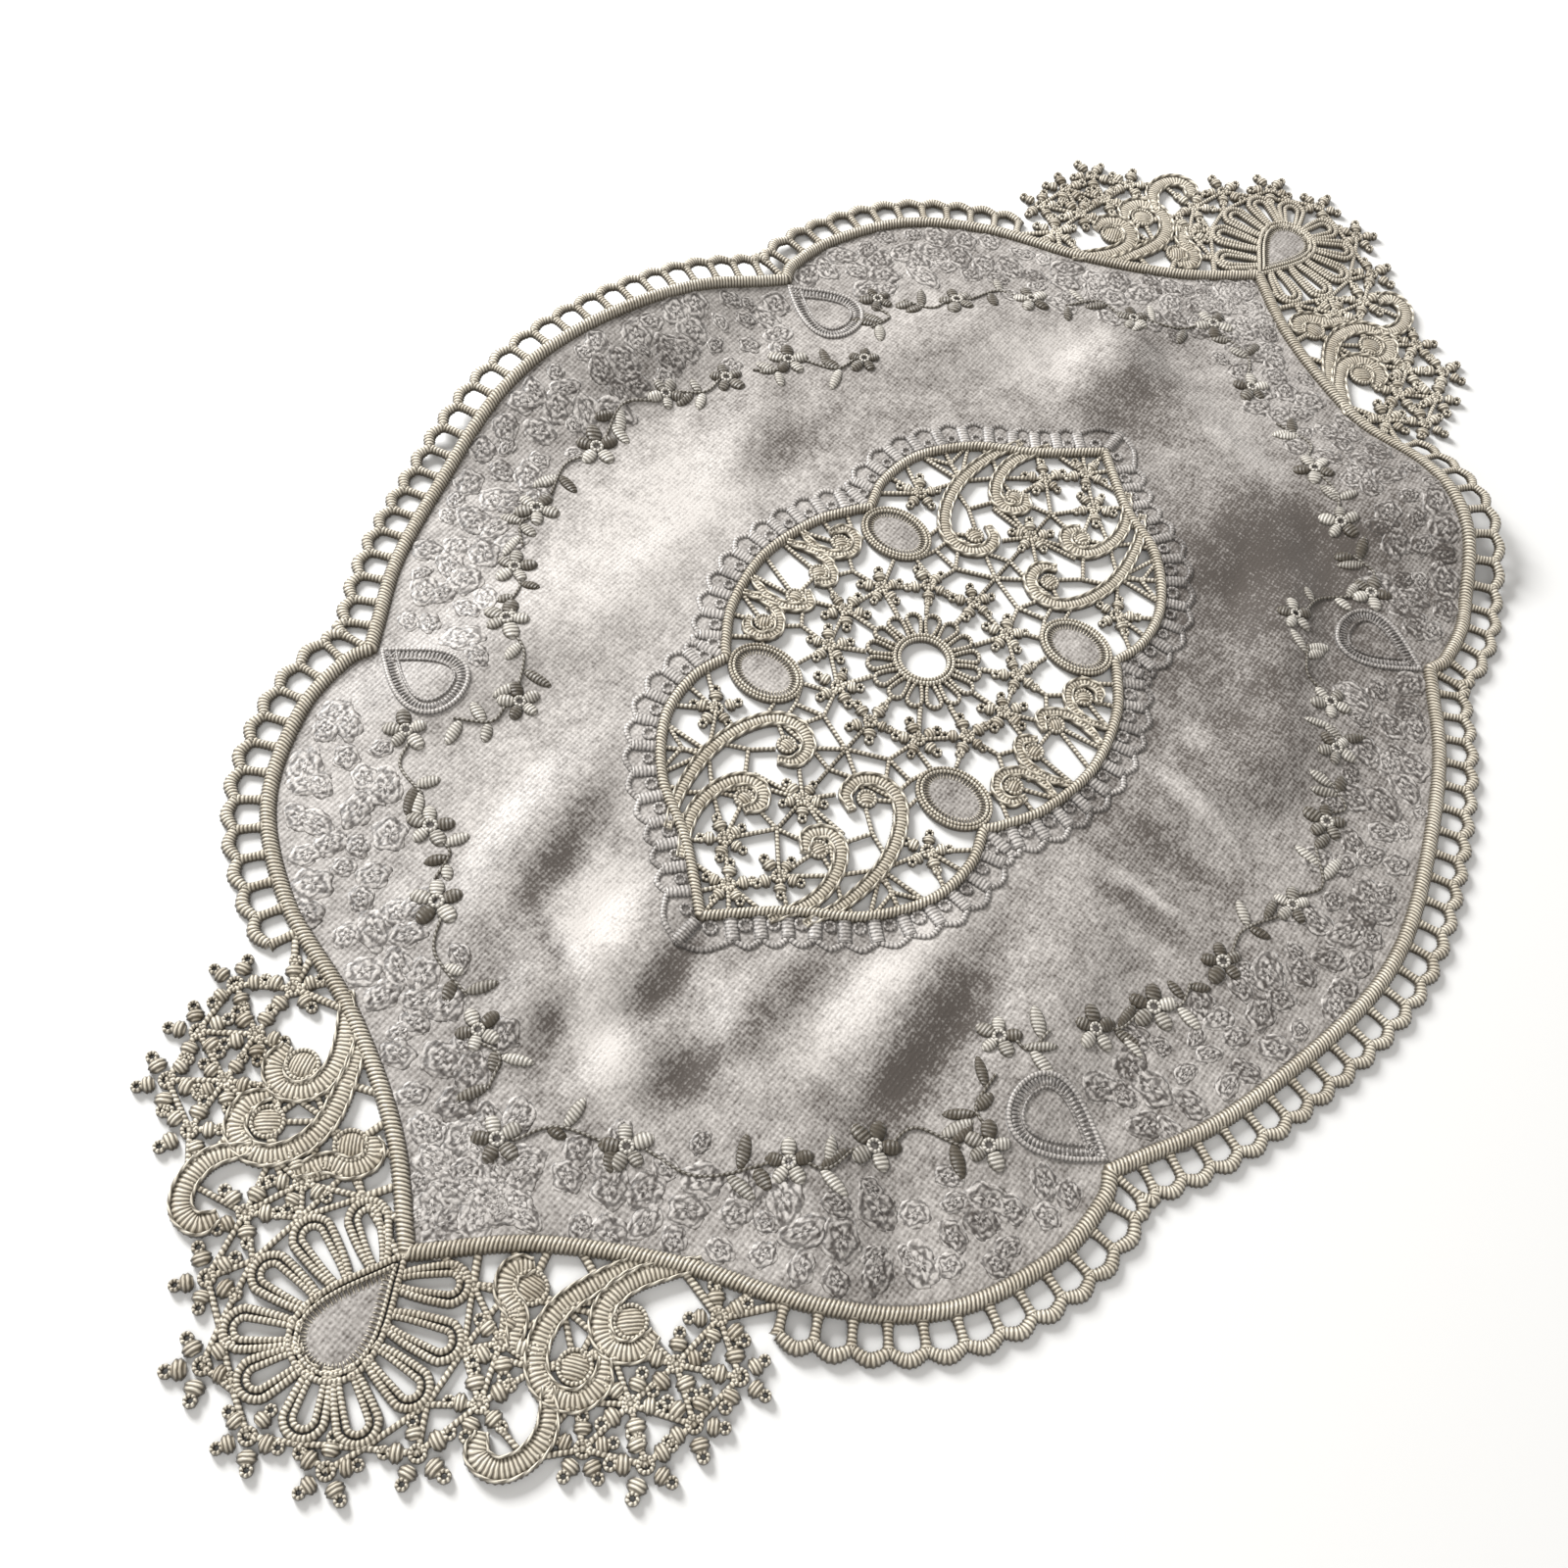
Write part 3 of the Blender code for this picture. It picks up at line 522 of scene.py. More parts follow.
def curl(place, radius, turn):
    """The striped disc that ends a scroll, with a cord round it."""
    return [scattered(disc(radius, 2.0, -0.1), place, turn),
            scattered(ring(radius + 0.1, 1.0, 1.9, tone=0.1), place, 0.0)]


def scrolls_and_curls(scrolls, bands, curls, radius, flips, rng):
    """The scrolls and curls of one quadrant, and the places where bars may end on them."""
    places = list(flipped(curls, *flips))
    shapes = [part for place in places for part in curl(place, radius, rng.uniform(0, math.pi))]
    for scroll, band in zip(scrolls, np.broadcast_to(bands, len(scrolls))):
        points = flipped(scroll, *flips)
        shapes += scroll_band(points, band)
        places += list(points[2:-2:2])
    return shapes, places


def loop_pair(root, tip, width, cords=((0.85, 1.75), (2.55, 1.5))):
    """A corded loop from its root to its round tip. A cord is its inset and its width."""
    root, tip = np.asarray(root, float), np.asarray(tip, float)
    length = np.linalg.norm(tip - root)
    turn = math.atan2(*(tip - root)[::-1])
    shapes = []
    for inset, size in cords:
        half = width / 2 - inset
        far = length - inset
        bend = np.linspace(-math.pi / 2, math.pi / 2, 9)
        round_end = half * round_points(bend) + (far - half, 0)
        foot = half * 0.42
        points = np.vstack([[(0.0, -foot), (far * 0.3, -half * 0.74)], round_end,
                            [(far * 0.3, half * 0.74), (0.0, foot)]])
        shapes.append(thread(curve(points, 0.5), size, 1.9, sides=7))
    return scattered(merged(shapes), root, turn)


def ticks(outline, length, width, height, base, pitch, tone):
    """Short stitches that run inwards from an outline: the rays of a buttonhole edge."""
    places = evened_loop(outline, pitch)
    along = tangents(places, True)
    turns = np.arctan2(-along[:, 0], along[:, 1]) + math.pi
    stitch = bead(length, width, height, base, length, 0.0, 0.0, 5, samples=3)
    return scattered(stitch, places, turns, tones=tone)


def bars(pairs, width=1.5):
    """Thin twisted bars between pairs of places."""
    return [thread(np.asarray(pair, float), width, 1.5, 0.1, 1.0, 0.08, 1.2, 5)
            for pair in pairs if np.linalg.norm(np.subtract(*pair)) > 1.0]


def pairs_in_reach(places, reach):
    """Pairs of places that stand closer together than the reach."""
    places = np.asarray(places)
    gaps = np.linalg.norm(places[:, None] - places[None], axis=-1)
    first, second = np.nonzero(np.triu(gaps < reach, 1))
    return [(places[i], places[j]) for i, j in zip(first, second)]


def nearest_pairs(starts, places, reach):
    """Each start with its nearest place, where one is within reach."""
    places = np.asarray(places)
    gaps = np.linalg.norm(np.asarray(starts)[:, None] - places[None], axis=-1)
    nearest = gaps.argmin(axis=1)
    return [(start, places[k]) for start, k, gap in zip(starts, nearest, gaps.min(axis=1))
            if gap < reach]


def drop_outline(flip_x, grow):
    """Outline of the satin drop of one fan, counter-clockwise, moved out by `grow`."""
    turn = even_turns(48, 0.5)
    along = (1 - np.cos(turn)) / 2
    outline = np.column_stack([DROP_START + DROP_LENGTH * along,
                               -DROP_HALF_WIDTH * 1.25 * np.sin(turn) * along ** 0.75])
    outline = evened_loop(moved_out(outline, grow), 0.6) * (flip_x, 1)
    return outline[::flip_x]


def oval_outline(flips, grow):
    """Outline of the satin oval of one quadrant, `grow` larger all round."""
    reach = np.add((OVAL_HALF_WIDTH, OVAL_HALF_HEIGHT), grow)
    return flipped(OVAL_CENTRE, *flips) + reach * round_points(even_turns(48))


def panel(outline):
    """A closed satin inlay inside an outline: rings drawn in towards the middle.

    At the share s of the way out its top is INLAY_TOP + INLAY_CROWN * (1 - s^2) high.
    """
    centre = outline.mean(axis=0)
    share = np.linspace(1, 0.02, 10)[:, None, None]
    flat = centre + share * (outline - centre)
    rise = np.broadcast_to(INLAY_TOP + INLAY_CROWN * (1 - share ** 2), (*flat.shape[:2], 1))
    upper = np.concatenate([flat, rise], axis=-1)
    foot = upper[:1] * (1, 1, 0) + (0, 0, SATIN_UNDER)
    verts = np.concatenate([foot, upper]).reshape(-1, 3)
    corners, sizes = ring_shell(len(share) + 1, len(outline))
    return Shape(verts, corners, sizes, verts[corners][:, :2], 0.0)


def new_piece(name, shapes, material, replaces=(), sheen=False):
    """A mesh object from shapes, laid over the folds, riding on the part's one body.

    The material is given by its name. With `sheen`, the painted sheen's patches of highlight and
    shade add to its tone.
    """
    shape = merged(shapes)
    if sheen:
        # Painted sheen: patches of painted highlight and painted shade
        shape.tone += fold_sum(SHEEN, shape.verts[:, 0], shape.verts[:, 1])
    mesh = bpy.data.meshes.new(name)
    mesh.vertices.add(len(shape.verts))
    mesh.vertices.foreach_set("co", laid(shape.verts).astype(np.float32).ravel())
    mesh.loops.add(len(shape.corners))
    mesh.loops.foreach_set("vertex_index", shape.corners.astype(np.int32))
    mesh.polygons.add(len(shape.sizes))
    starts = np.concatenate([[0], np.cumsum(shape.sizes)[:-1]]).astype(np.int32)
    mesh.polygons.foreach_set("loop_start", starts)
    mesh.update(calc_edges=True)
    uv = mesh.uv_layers.new(name="stitch")
    uv.uv.foreach_set("vector", shape.uv.astype(np.float32).ravel())
    tone = mesh.attributes.new("tone", "FLOAT", "POINT")
    tone.data.foreach_set("value", shape.tone.astype(np.float32))
    mesh.shade_smooth()
    mesh.validate()
    piece = bpy.data.objects.new(name, mesh)
    bpy.context.scene.collection.objects.link(piece)
    mesh.materials.append(bpy.data.materials[material])
    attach(piece, "root")
    if replaces:
        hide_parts(*replaces)
    return piece


def new_group(name, inputs, outputs):
    """An empty shader node group of float sockets, and its input and output nodes."""
    group = bpy.data.node_groups.new(name, "ShaderNodeTree")
    for socket, value in inputs.items():
        made = group.interface.new_socket(socket, in_out="INPUT", socket_type="NodeSocketFloat")
        made.default_value = value
    for socket in outputs:
        group.interface.new_socket(socket, in_out="OUTPUT", socket_type="NodeSocketFloat")
    return group, group.nodes.new("NodeGroupInput"), group.nodes.new("NodeGroupOutput")


def feed(tree, socket, value):
    """Set an input, or link it where the value is another node's output."""
    if isinstance(value, bpy.types.NodeSocket):
        tree.links.new(value, socket)
    else:
        socket.default_value = value


def new_node(tree, kind, **values):
    """A shader node with its named inputs set or linked."""
    node = tree.nodes.new("ShaderNode" + kind)
    for name, value in values.items():
        feed(tree, node.inputs[name.replace("_", " ")], value)
    return node


def math_node(tree, operation, *values):
    """A Math node whose inputs are sockets or numbers, and its result."""
    node = new_node(tree, "Math")
    node.operation = operation
    for socket, value in zip(node.inputs, values):
        feed(tree, socket, value)
    return node.outputs[0]


def weighted(tree, level, *terms):
    """The level plus each term's value times its share."""
    for value, share in terms:
        level = math_node(tree, "MULTIPLY_ADD", value, share, level)
    return level


def mixed_colour(tree, factor, first, second):
    """A colour Mix node whose inputs are sockets or values, and its result."""
    node = new_node(tree, "Mix")
    node.data_type = "RGBA"
    for k, value in ((0, factor), (6, first), (7, second)):
        feed(tree, node.inputs[k], value)
    return node.outputs[2]


def smooth_step(tree, value, low, high):
    """A smooth step from 0 at `low` to 1 at `high`."""
    node = new_node(tree, "MapRange", Value=value, From_Min=low, From_Max=high)
    node.interpolation_type = "SMOOTHSTEP"
    return node.outputs[0]


def object_place(tree):
    """The place on the object."""
    return new_node(tree, "TexCoord").outputs["Object"]


def tone_with_painted_light(tree):
    """The tone that each piece's points carry: random tone, and on some pieces painted sheen and
    painted shade.
    """
    node = new_node(tree, "Attribute")
    node.attribute_name = "tone"
    return node.outputs["Fac"]


def stitch_group():
    """Threads of a stitch, from the UV that counts its stitches in u and turns round it in v.

    With p = u + Unevenness * (noise - 0.5), Ridge is a smooth step of 0.5 + 0.5 cos(2 pi p).
    Height adds `Strands` fine threads to it. Crown is 1 along the top of the thread and falls
    off fast down its flanks, a smooth step of 0.5 + 0.5 sin(2 pi v). Ridge and Crown are the masks
    of the painted shade in the grooves and down the flanks.
    """
    group, given, result = new_group("stitch_threads", {"Strands": 3.0, "Unevenness": 0.5},
                                     ("Height", "Ridge", "Crown"))
    uv = new_node(group, "UVMap")
    uv.uv_map = "stitch"
    split = new_node(group, "SeparateXYZ", Vector=uv.outputs[0])
    noise = new_node(group, "TexNoise", Scale=420.0, Vector=object_place(group))
    shift = math_node(group, "SUBTRACT", noise.outputs["Fac"], 0.5)
    phase = weighted(group, split.outputs[0], (shift, given.outputs["Unevenness"]))
    turn = math_node(group, "MULTIPLY", phase, math.tau)
    wave = weighted(group, 0.5, (math_node(group, "COSINE", turn), 0.5))
    ridge = smooth_step(group, wave, 0.08, 0.85)
    strands = math_node(group, "MULTIPLY", turn, given.outputs["Strands"])
    height = weighted(group, ridge, (math_node(group, "COSINE", strands), 0.2))
    round_turn = math_node(group, "MULTIPLY", split.outputs[1], math.tau)
    crown = weighted(group, 0.5, (math_node(group, "SINE", round_turn), 0.5))
    group.links.new(height, result.inputs["Height"])
    group.links.new(ridge, result.inputs["Ridge"])
    group.links.new(smooth_step(group, crown, 0.5, 0.96), result.inputs["Crown"])
    return group


def stitch_shade(tree, stitches, base, shadow, groove_shade, flank_shade):
    """A colour that turns to its shadow in the grooves of the stitches and down the flanks."""
    shade, flank = [weighted(tree, 1 - depth, (stitches.outputs[name], depth))
                    for name, depth in (("Ridge", groove_shade), ("Crown", flank_shade))]
    return mixed_colour(tree, math_node(tree, "MULTIPLY", shade, flank), (*shadow, 1), base)


def cloud_group():
    """Uneven tone, and on the satin painted sheen: two sizes of soft cloud on Object coordinates.
    """
    group, given, result = new_group(
        "cloth_clouds", {"Large Scale": 30.0, "Small Scale": 900.0}, ("Large", "Small"))
    place = object_place(group)
    for target, detail in (("Large", 3.0), ("Small", 2.0)):
        node = new_node(group, "TexNoise", Detail=detail, Vector=place,
                        Scale=given.outputs[target + " Scale"])
        group.links.new(node.outputs["Fac"], result.inputs[target])
    return group


def new_material(name, roughness, sheen):
    """A material with a Principled shader, its nodes, links and shader."""
    material = bpy.data.materials.new(name)
    material.use_nodes = True
    shader = material.node_tree.nodes["Principled BSDF"]
    shader.inputs["Roughness"].default_value = roughness
    shader.inputs["Sheen Weight"].default_value = sheen
    shader.inputs["Sheen Roughness"].default_value = 0.4
    return material, material.node_tree, shader


def placed_group(tree, name, **values):
    """A node of a shared group with its own values."""
    node = new_node(tree, "Group")
    node.node_tree = bpy.data.node_groups[name]
    for socket, value in values.items():
        node.inputs[socket.replace("_", " ")].default_value = value
    return node


def bumped(tree, shader, height, strength, distance):
    """A height fed to the shader's normal through a Bump node."""
    bump = new_node(tree, "Bump", Strength=strength, Distance=distance, Height=height)
    tree.links.new(bump.outputs[0], shader.inputs["Normal"])


def thread_material(name, light, dark, groove_shade, flank_shade, roughness):
    """Stitched thread: a painted highlight on each stitch, painted shade in its grooves and down
    its flanks, uneven along its length.
    """
    material, tree, shader = new_material(name, roughness, 0.25)
    stitches = placed_group(tree, "stitch_threads")
    clouds = placed_group(tree, "cloth_clouds", Large_Scale=45.0, Small_Scale=700.0)
    # The share of the light colour: clouds of random tone, a painted highlight on each stitch's
    # ridge, and the piece's tone
    level = weighted(tree, 0.05, (clouds.outputs["Large"], 0.9), (clouds.outputs["Small"], 0.7),
                     (stitches.outputs["Ridge"], 0.3))
    level = math_node(tree, "ADD", math_node(tree, "SUBTRACT", level, 0.45), tone_with_painted_light(tree))
    base = mixed_colour(tree, level, (*dark, 1), (*light, 1))
    shaded = stitch_shade(tree, stitches, base, THREAD_SHADOW, groove_shade, flank_shade)
    tree.links.new(shaded, shader.inputs["Base Color"])
    bumped(tree, shader, stitches.outputs["Height"], 0.7, 0.0002)
    return material


def satin_material(name, light, dark, roughness, groove_shade=0.0):
    """Satin: patches of painted sheen, clouds of four sizes of uneven tone and painted sheen, and
    a fine weave along both sides.

    What is stitched in the same thread takes painted shade in its grooves and down its flanks from
    its stitch UV as well.
    """
    material, tree, shader = new_material(name, roughness, 0.35)
    broad = placed_group(tree, "cloth_clouds", Large_Scale=22.0, Small_Scale=140.0)
    fine = placed_group(tree, "cloth_clouds", Large_Scale=700.0, Small_Scale=1600.0)
    place = object_place(tree)
    # The share of the light satin colour: the tone with its painted sheen, then the weave and the
    # clouds
    level = math_node(tree, "ADD", tone_with_painted_light(tree), -1.26)
    height = fine.outputs["Small"]
    for direction, share in (("Y", 0.24), ("X", 0.14)):
        weave = new_node(tree, "TexWave", Scale=WEAVE_SCALE, Distortion=1.2, Detail=1.0,
                         Detail_Scale=2.0, Vector=place)
        weave.bands_direction = direction
        level, height = [weighted(tree, sum_so_far, (weave.outputs["Fac"], share))
                         for sum_so_far in (level, height)]
    level = weighted(tree, level, (broad.outputs["Large"], 0.6), (broad.outputs["Small"], 0.7),
                     (fine.outputs["Large"], 0.9), (fine.outputs["Small"], 0.9))
    base = mixed_colour(tree, level, (*dark, 1), (*light, 1))
    if groove_shade:
        stitches = placed_group(tree, "stitch_threads", Unevenness=0.9)
        base = stitch_shade(tree, stitches, base, SATIN_SHADOW, groove_shade, 0.6)
    tree.links.new(base, shader.inputs["Base Color"])
    bumped(tree, shader, height, 0.6, 0.00015)
    return material


def settings():
    """The sizes and colours of the scene's placemat settings."""
    return bpy.context.scene.placemat


def satin_sheet():
    """The satin: a grid whose rows run round and whose columns cross from opening to edge."""
    outer = moved_out(lobed_outline(CLOTH_LOBES, counts=CLOTH_STEPS), -0.6)
    inner = moved_out(lobed_outline(OPENING_LOBES, counts=CLOTH_STEPS), 0.6)
    share = np.linspace(0, 1, CLOTH_ACROSS)[:, None, None]
    flat = inner * (1 - share) + outer * share
    rows, columns = flat.shape[:2]
    top, under = [np.concatenate([flat, np.full((rows, columns, 1), level)], axis=-1)
                  for level in (SATIN_TOP, SATIN_UNDER)]
    verts = np.concatenate([top, under[::-1]]).reshape(-1, 3)
    corners = grid_corners(2 * rows, columns, True, True).ravel()
    return Shape(verts, corners, np.full(len(corners) // 4, 4), verts[corners][:, :2], 0.0)


def ladder_shapes():
    """Bars and scallops of one ladder, and the same turned half round for the other."""
    outline = lobed_outline(CLOTH_LOBES, LADDER_PITCH)
    half = outline[:len(outline) // 2 + 1]
    run = half[half[:, 1] > LADDER_END_Y]
    feet, heads = [moved_out(run, out, False) for out in (LADDER_START, LADDER_EDGE)]
    crests = moved_out((run[1:] + run[:-1]) / 2, LADDER_EDGE + SCALLOP_RISE, False)
    shapes = []
    for foot, head in zip(feet, heads):
        path = evened(np.array([foot, head]), 0.5)
        share = np.linspace(-1, 1, len(path))
        shapes.append(thread(path, 2.0 + 1.2 * np.abs(share) ** 3, 1.9, tone=-0.05))
    for start, crest, end in zip(heads[:-1], crests, heads[1:]):
        path = curve([start, crest, end], 0.5)
        share = np.linspace(-1, 1, len(path))
        shapes.append(thread(path, 2.9 - 0.8 * share ** 2, 2.1, relief=0.09, slant=0.3, tone=0.05))
    return [scattered(merged(shapes), np.zeros((2, 2)), (0.0, math.pi))]


def fan_shapes(flip_x):
    """Everything in the lace fan at one end."""
    rng = np.random.default_rng(SEED)
    shapes, places, flowers = [], [], []
    for flips in ((flip_x, 1), (flip_x, -1)):
        flowers += list(flipped(FAN_FLOWERS, *flips))
        scrolls, ends = scrolls_and_curls(FAN_SCROLLS, FAN_BAND_WIDTH, FAN_CURLS, CURL_RADIUS,
                                          flips, rng)
        shapes += scrolls
        places += ends
        for loop in LOOPS:
            root, tip = flipped(loop, *flips)
            shapes.append(loop_pair(root, tip, LOOP_WIDTH))
            places.append(tip)
    flowers += list(flipped([FAN_TIP_FLOWER], flip_x, 1))
    places += flowers
    shapes += flowers_at(flowers, FLOWER_REACH, PETAL_WIDTH, rng)
    shapes += bars(pairs_in_reach(places, NEIGHBOUR_REACH))
    outline = lobed_outline(CLOTH_LOBES, LADDER_PITCH)
    near = outline[(outline[:, 0] > 0) & (np.abs(outline[:, 1]) <= LADDER_END_Y + LADDER_PITCH)]
    near = near[np.argsort(near[:, 1])]
    feet = moved_out(near, LADDER_START, False) * (flip_x, 1)
    shapes += bars(nearest_pairs(feet, places, BRIDE_REACH), 2.0)
    return shapes + inlay_rim(drop_outline(flip_x, 0.0), FAN_RIM_WIDTH)


def inlay_rim(outline, width):
    """The double cord round a satin inlay and the rays that its inner cord throws inwards."""
    return [thread(moved_out(outline, width), width, 2.2, sides=6, closed=True),
            thread(moved_out(outline, 0.1), 0.95, 2.2, sides=6, closed=True, tone=0.2),
            ticks(outline, 1.8, 0.5, 0.45, 1.15, 0.9, 0.1)]


def middle_shapes():
    """Everything in the lace of the opening."""
    rng = np.random.default_rng(SEED + 1)
    shapes = [ring(radius, 1.15, 2.2, sides=7, tone=0.2) for radius in WHEEL_RINGS]
    places = []
    for out in round_points(even_turns(WHEEL_LOOPS)):
        shapes.append(loop_pair(out * (WHEEL_RINGS[1] + 0.5), out * WHEEL_REACH,
                                WHEEL_LOOP_WIDTH, ((0.6, 1.1),)))
    ring_places = RING_RADIUS * round_points(even_turns(RING_FLOWERS))
    flowers = list(ring_places)
    shapes += bars([(p * (WHEEL_REACH - 0.5) / RING_RADIUS, p) for p in ring_places])
    for flip_x in (1, -1):
        flowers += list(flipped(OPENING_AXIS_FLOWERS, flip_x, 1))
    for flips in QUADRANTS:
        flowers += list(flipped(OPENING_FLOWERS, *flips))
        scrolls, ends = scrolls_and_curls(OPENING_SCROLLS, OPENING_BAND_WIDTHS, OPENING_CURLS,
                                          OPENING_CURL_RADIUS, flips, rng)
        shapes += scrolls + bars([flipped(bar, *flips) for bar in OPENING_NET], 1.2)
        places += ends + list(flipped(OVAL_CENTRE, *flips))
        shapes += inlay_rim(oval_outline(flips, 0.0), OVAL_RIM_WIDTH)
    shapes += flowers_at(flowers, OPENING_FLOWER_REACH, OPENING_PETAL_WIDTH, rng)
    places += flowers
    shapes += bars(trimmed_pairs(pairs_in_reach(places, OPENING_NEIGHBOUR_REACH)), 1.2)
    feet = moved_out(lobed_outline(OPENING_LOBES, OPENING_FOOT_STEP), -LADDER_START)
    shapes += bars(trimmed_pairs(nearest_pairs(feet, places, BRIDE_REACH)), 1.3)
    return shapes


def trimmed_pairs(pairs):
    """Pairs cut back to the rim of any satin oval that they end in."""
    ovals = np.multiply(QUADRANTS, OVAL_CENTRE)
    reach = OVAL_HALF_HEIGHT + 0.6
    cut = []
    for start, end in pairs:
        for centre in ovals:
            if np.allclose(start, centre):
                start = centre + (end - centre) * reach / np.linalg.norm(end - centre)
            if np.allclose(end, centre):
                end = centre + (start - centre) * reach / np.linalg.norm(start - centre)
        cut.append((start, end))
    return cut


def rose(rng):
    """A low embroidered rose, about nine millimetres across, with a wavy spiral groove.

    At the distance r and angle a, and the share s of its radius, its groove's phase u is
    r / ROSE_PITCH + a / (2 pi) + 0.3 sin(5 a + 1.7 r + p). From just below the satin's top it
    rises 0.4 * sqrt(1 - s^2) + 0.14 * cos(2 pi u), and its underside dips into the cloth. Its
    tone is 0.32 * cos(2 pi u) * (1 + 0.7 sin(2 a + r)): a painted highlight on its crests and
    painted shade in its furrows, dark in broken arcs.
    """
    rings, steps = 8, 24
    turn = even_turns(steps)
    waves = 1 + 0.1 * np.sin(rng.integers(3, 6) * turn + rng.uniform(0, 6))
    share = np.concatenate([[0.35], np.linspace(1, 0.1, rings - 1)])[:, None]
    distance = ROSE_RADIUS * share * waves
    phase = distance / ROSE_PITCH + turn / math.tau
    phase = phase + 0.3 * np.sin(5 * turn + 1.7 * distance + rng.uniform(0, 6))
    wave = np.cos(math.tau * phase)
    rise = 0.4 * np.sqrt(1 - (share * 0.98) ** 2) + 0.14 * wave
    rise[0] = -0.45
    rise[1] = 0.0
    stretch = rng.uniform(1.0, 1.3)
    verts = np.stack([distance * np.cos(turn) * stretch, distance * np.sin(turn) / stretch,
                      SATIN_TOP - 0.1 + rise], axis=-1).reshape(-1, 3)
    spiral = np.column_stack([phase, phase[:, 0] + 1])
    u = np.stack([spiral[:-1, 1:], spiral[1:, 1:], spiral[1:, :-1], spiral[:-1, :-1]], axis=-1)
    # Painted highlight on the crests and painted shade in the furrows, in broken arcs
    tone = 0.32 * wave * (1 + 0.7 * np.sin(2 * turn + distance))
    return Shape(verts, *ring_shell(rings, steps),
                 top_uv(np.concatenate([u.ravel(), np.zeros(2 * steps)])), tone.ravel())


def rose_field():
    """Rows of roses side by side inside the cord, over the whole edge band of the cloth."""
    rng = np.random.default_rng(SEED + 2)
    kinds = [rose(rng) for _ in range(ROSE_KINDS)]
    shapes = []
    for inset, gap in ROSE_ROWS:
        line = evened_loop(moved_out(lobed_outline(CLOTH_LOBES, 1.0), -inset), gap)
        line = line + rng.normal(0, 1.2, line.shape)
        off_drop = (np.abs(line) - (NOTCH[0] - 1.0, NOTCH[1] - 15.0)) / (12.0, 15.0)
        line = line[(off_drop ** 2).sum(axis=1) > 1]
        choice = rng.integers(0, len(kinds), len(line))
        for k, kind in enumerate(kinds):
            here = line[choice == k]
            shapes.append(scattered(kind, here, rng.uniform(0, math.tau, len(here)),
                                    rng.uniform(0.6, 1.15, len(here)),
                                    rng.normal(0.02, 0.1, len(here))))
    return shapes


def leaf(length, width, tone):
    """An embroidered leaf: a low pointed bead on the satin with long slanted stitches."""
    return bead(length, width, 1.0, SATIN_TOP - 0.25, 0.85, 0.1, 2.2, 6, tone=tone, blunt=0.6)


def embroidered_tone(rng):
    """The tone of one embroidered leaf or petal: light, plain or dark thread."""
    return rng.choice([0.3, -0.05, -0.55], p=[0.35, 0.25, 0.4]) + rng.normal(0, 0.1)


def sprig(rng):
    """An embroidered flower: five round petals of light and dark thread about a ring."""
    turns = even_turns(PETALS, rng.uniform(-0.1, 0.1, PETALS))
    petal_kind = bead(4.4, 3.5, 1.2, SATIN_TOP - 0.25, 0.8, 0.08, 1.4, 6, start=1.0, blunt=0.45)
    return merged([scattered(petal_kind, np.zeros((PETALS, 2)), turns,
                             rng.uniform(0.85, 1.1, PETALS),
                             [embroidered_tone(rng) for _ in range(PETALS)]),
                   ring(1.2, 0.9, 1.0, SATIN_TOP, tone=0.5)])


def runner(start, end, rng):
    """A bent stem from a flower towards the next, with leaves springing from both sides."""
    away = end - start
    aside = np.array([-away[1], away[0]]) * rng.uniform(0.1, 0.2) * rng.choice([-1, 1])
    reach = rng.uniform(0.45, 0.95)
    path = curve([start + away * 0.12, start + away * reach * 0.5 + aside,
                  start + away * reach], 0.9)
    shapes = [thread(path, 0.8, 0.8, SATIN_TOP - 0.15, 1.1, 0.08, 1.2, 5, tone=-0.35)]
    along = tangents(path)
    side = rng.choice([-1, 1])
    for share in sorted(rng.uniform(0.25, 1.0, 3)):
        side = -side
        k = round(share * (len(path) - 1))
        turn = math.atan2(*along[k][::-1]) + side * rng.uniform(0.6, 1.3)
        shapes.append(scattered(leaf(rng.uniform(4.5, 8.0), rng.uniform(2.4, 3.4),
                                     embroidered_tone(rng)), path[k], turn))
    return shapes


def sprays():
    """The garland: flowers each turned their own way, and leafy stems between them."""
    rng = np.random.default_rng(SEED + 3)
    kinds = [sprig(rng) for _ in range(6)]
    quadrant = np.asarray(SPRAYS, float)
    half = np.vstack([quadrant, (quadrant * (-1, 1))[::-1][1:]])
    line = np.vstack([half, (half * (1, -1))[::-1][1:-1]])
    line = line + rng.normal(0, 1.0, line.shape)
    shapes = []
    for start, end in zip(line, np.roll(line, -1, axis=0)):
        shapes += runner(start, end, rng)
        shapes.append(scattered(kinds[rng.integers(0, len(kinds))], start,
                                rng.uniform(0, math.tau), rng.uniform(0.9, 1.1)))
    return shapes


def shells():
    """A scalloped edging on the satin round the opening: arcs on short stitched blocks."""
    line = lobed_outline(OPENING_LOBES, SHELL_PITCH)
    rng = np.random.default_rng(SEED + 4)
    near, far = moved_out(line, 1.2), moved_out(line, SHELL_DEPTH - 2.2)
    crests = moved_out((line + np.roll(line, -1, axis=0)) / 2, SHELL_DEPTH - 0.4)
    level = SATIN_TOP - 0.35
    shapes = []
    for k in range(len(line)):
        after = (k + 1) % len(line)
        shapes.append(thread(np.array([near[k], far[k]]), 3.2, 1.2, level, 0.9, 0.08, 0.2, 6,
                             tone=rng.normal(0.4, 0.1)))
        arc = curve([far[k], crests[k], far[after]], 0.6)
        shapes.append(thread(arc, 1.5, 1.0, level, 0.9, 0.1, 0.1, 6,
                             tone=rng.normal(0.25, 0.15)))
        middle = (near[k] + near[after]) / 3 + (far[k] + far[after]) / 6
        shapes.append(scattered(ring(1.15, 0.9, 1.0, level, 5, tone=rng.normal(0.25, 0.1)),
                                middle, rng.uniform(0, 6), rng.uniform(0.9, 1.2)))
    return shapes


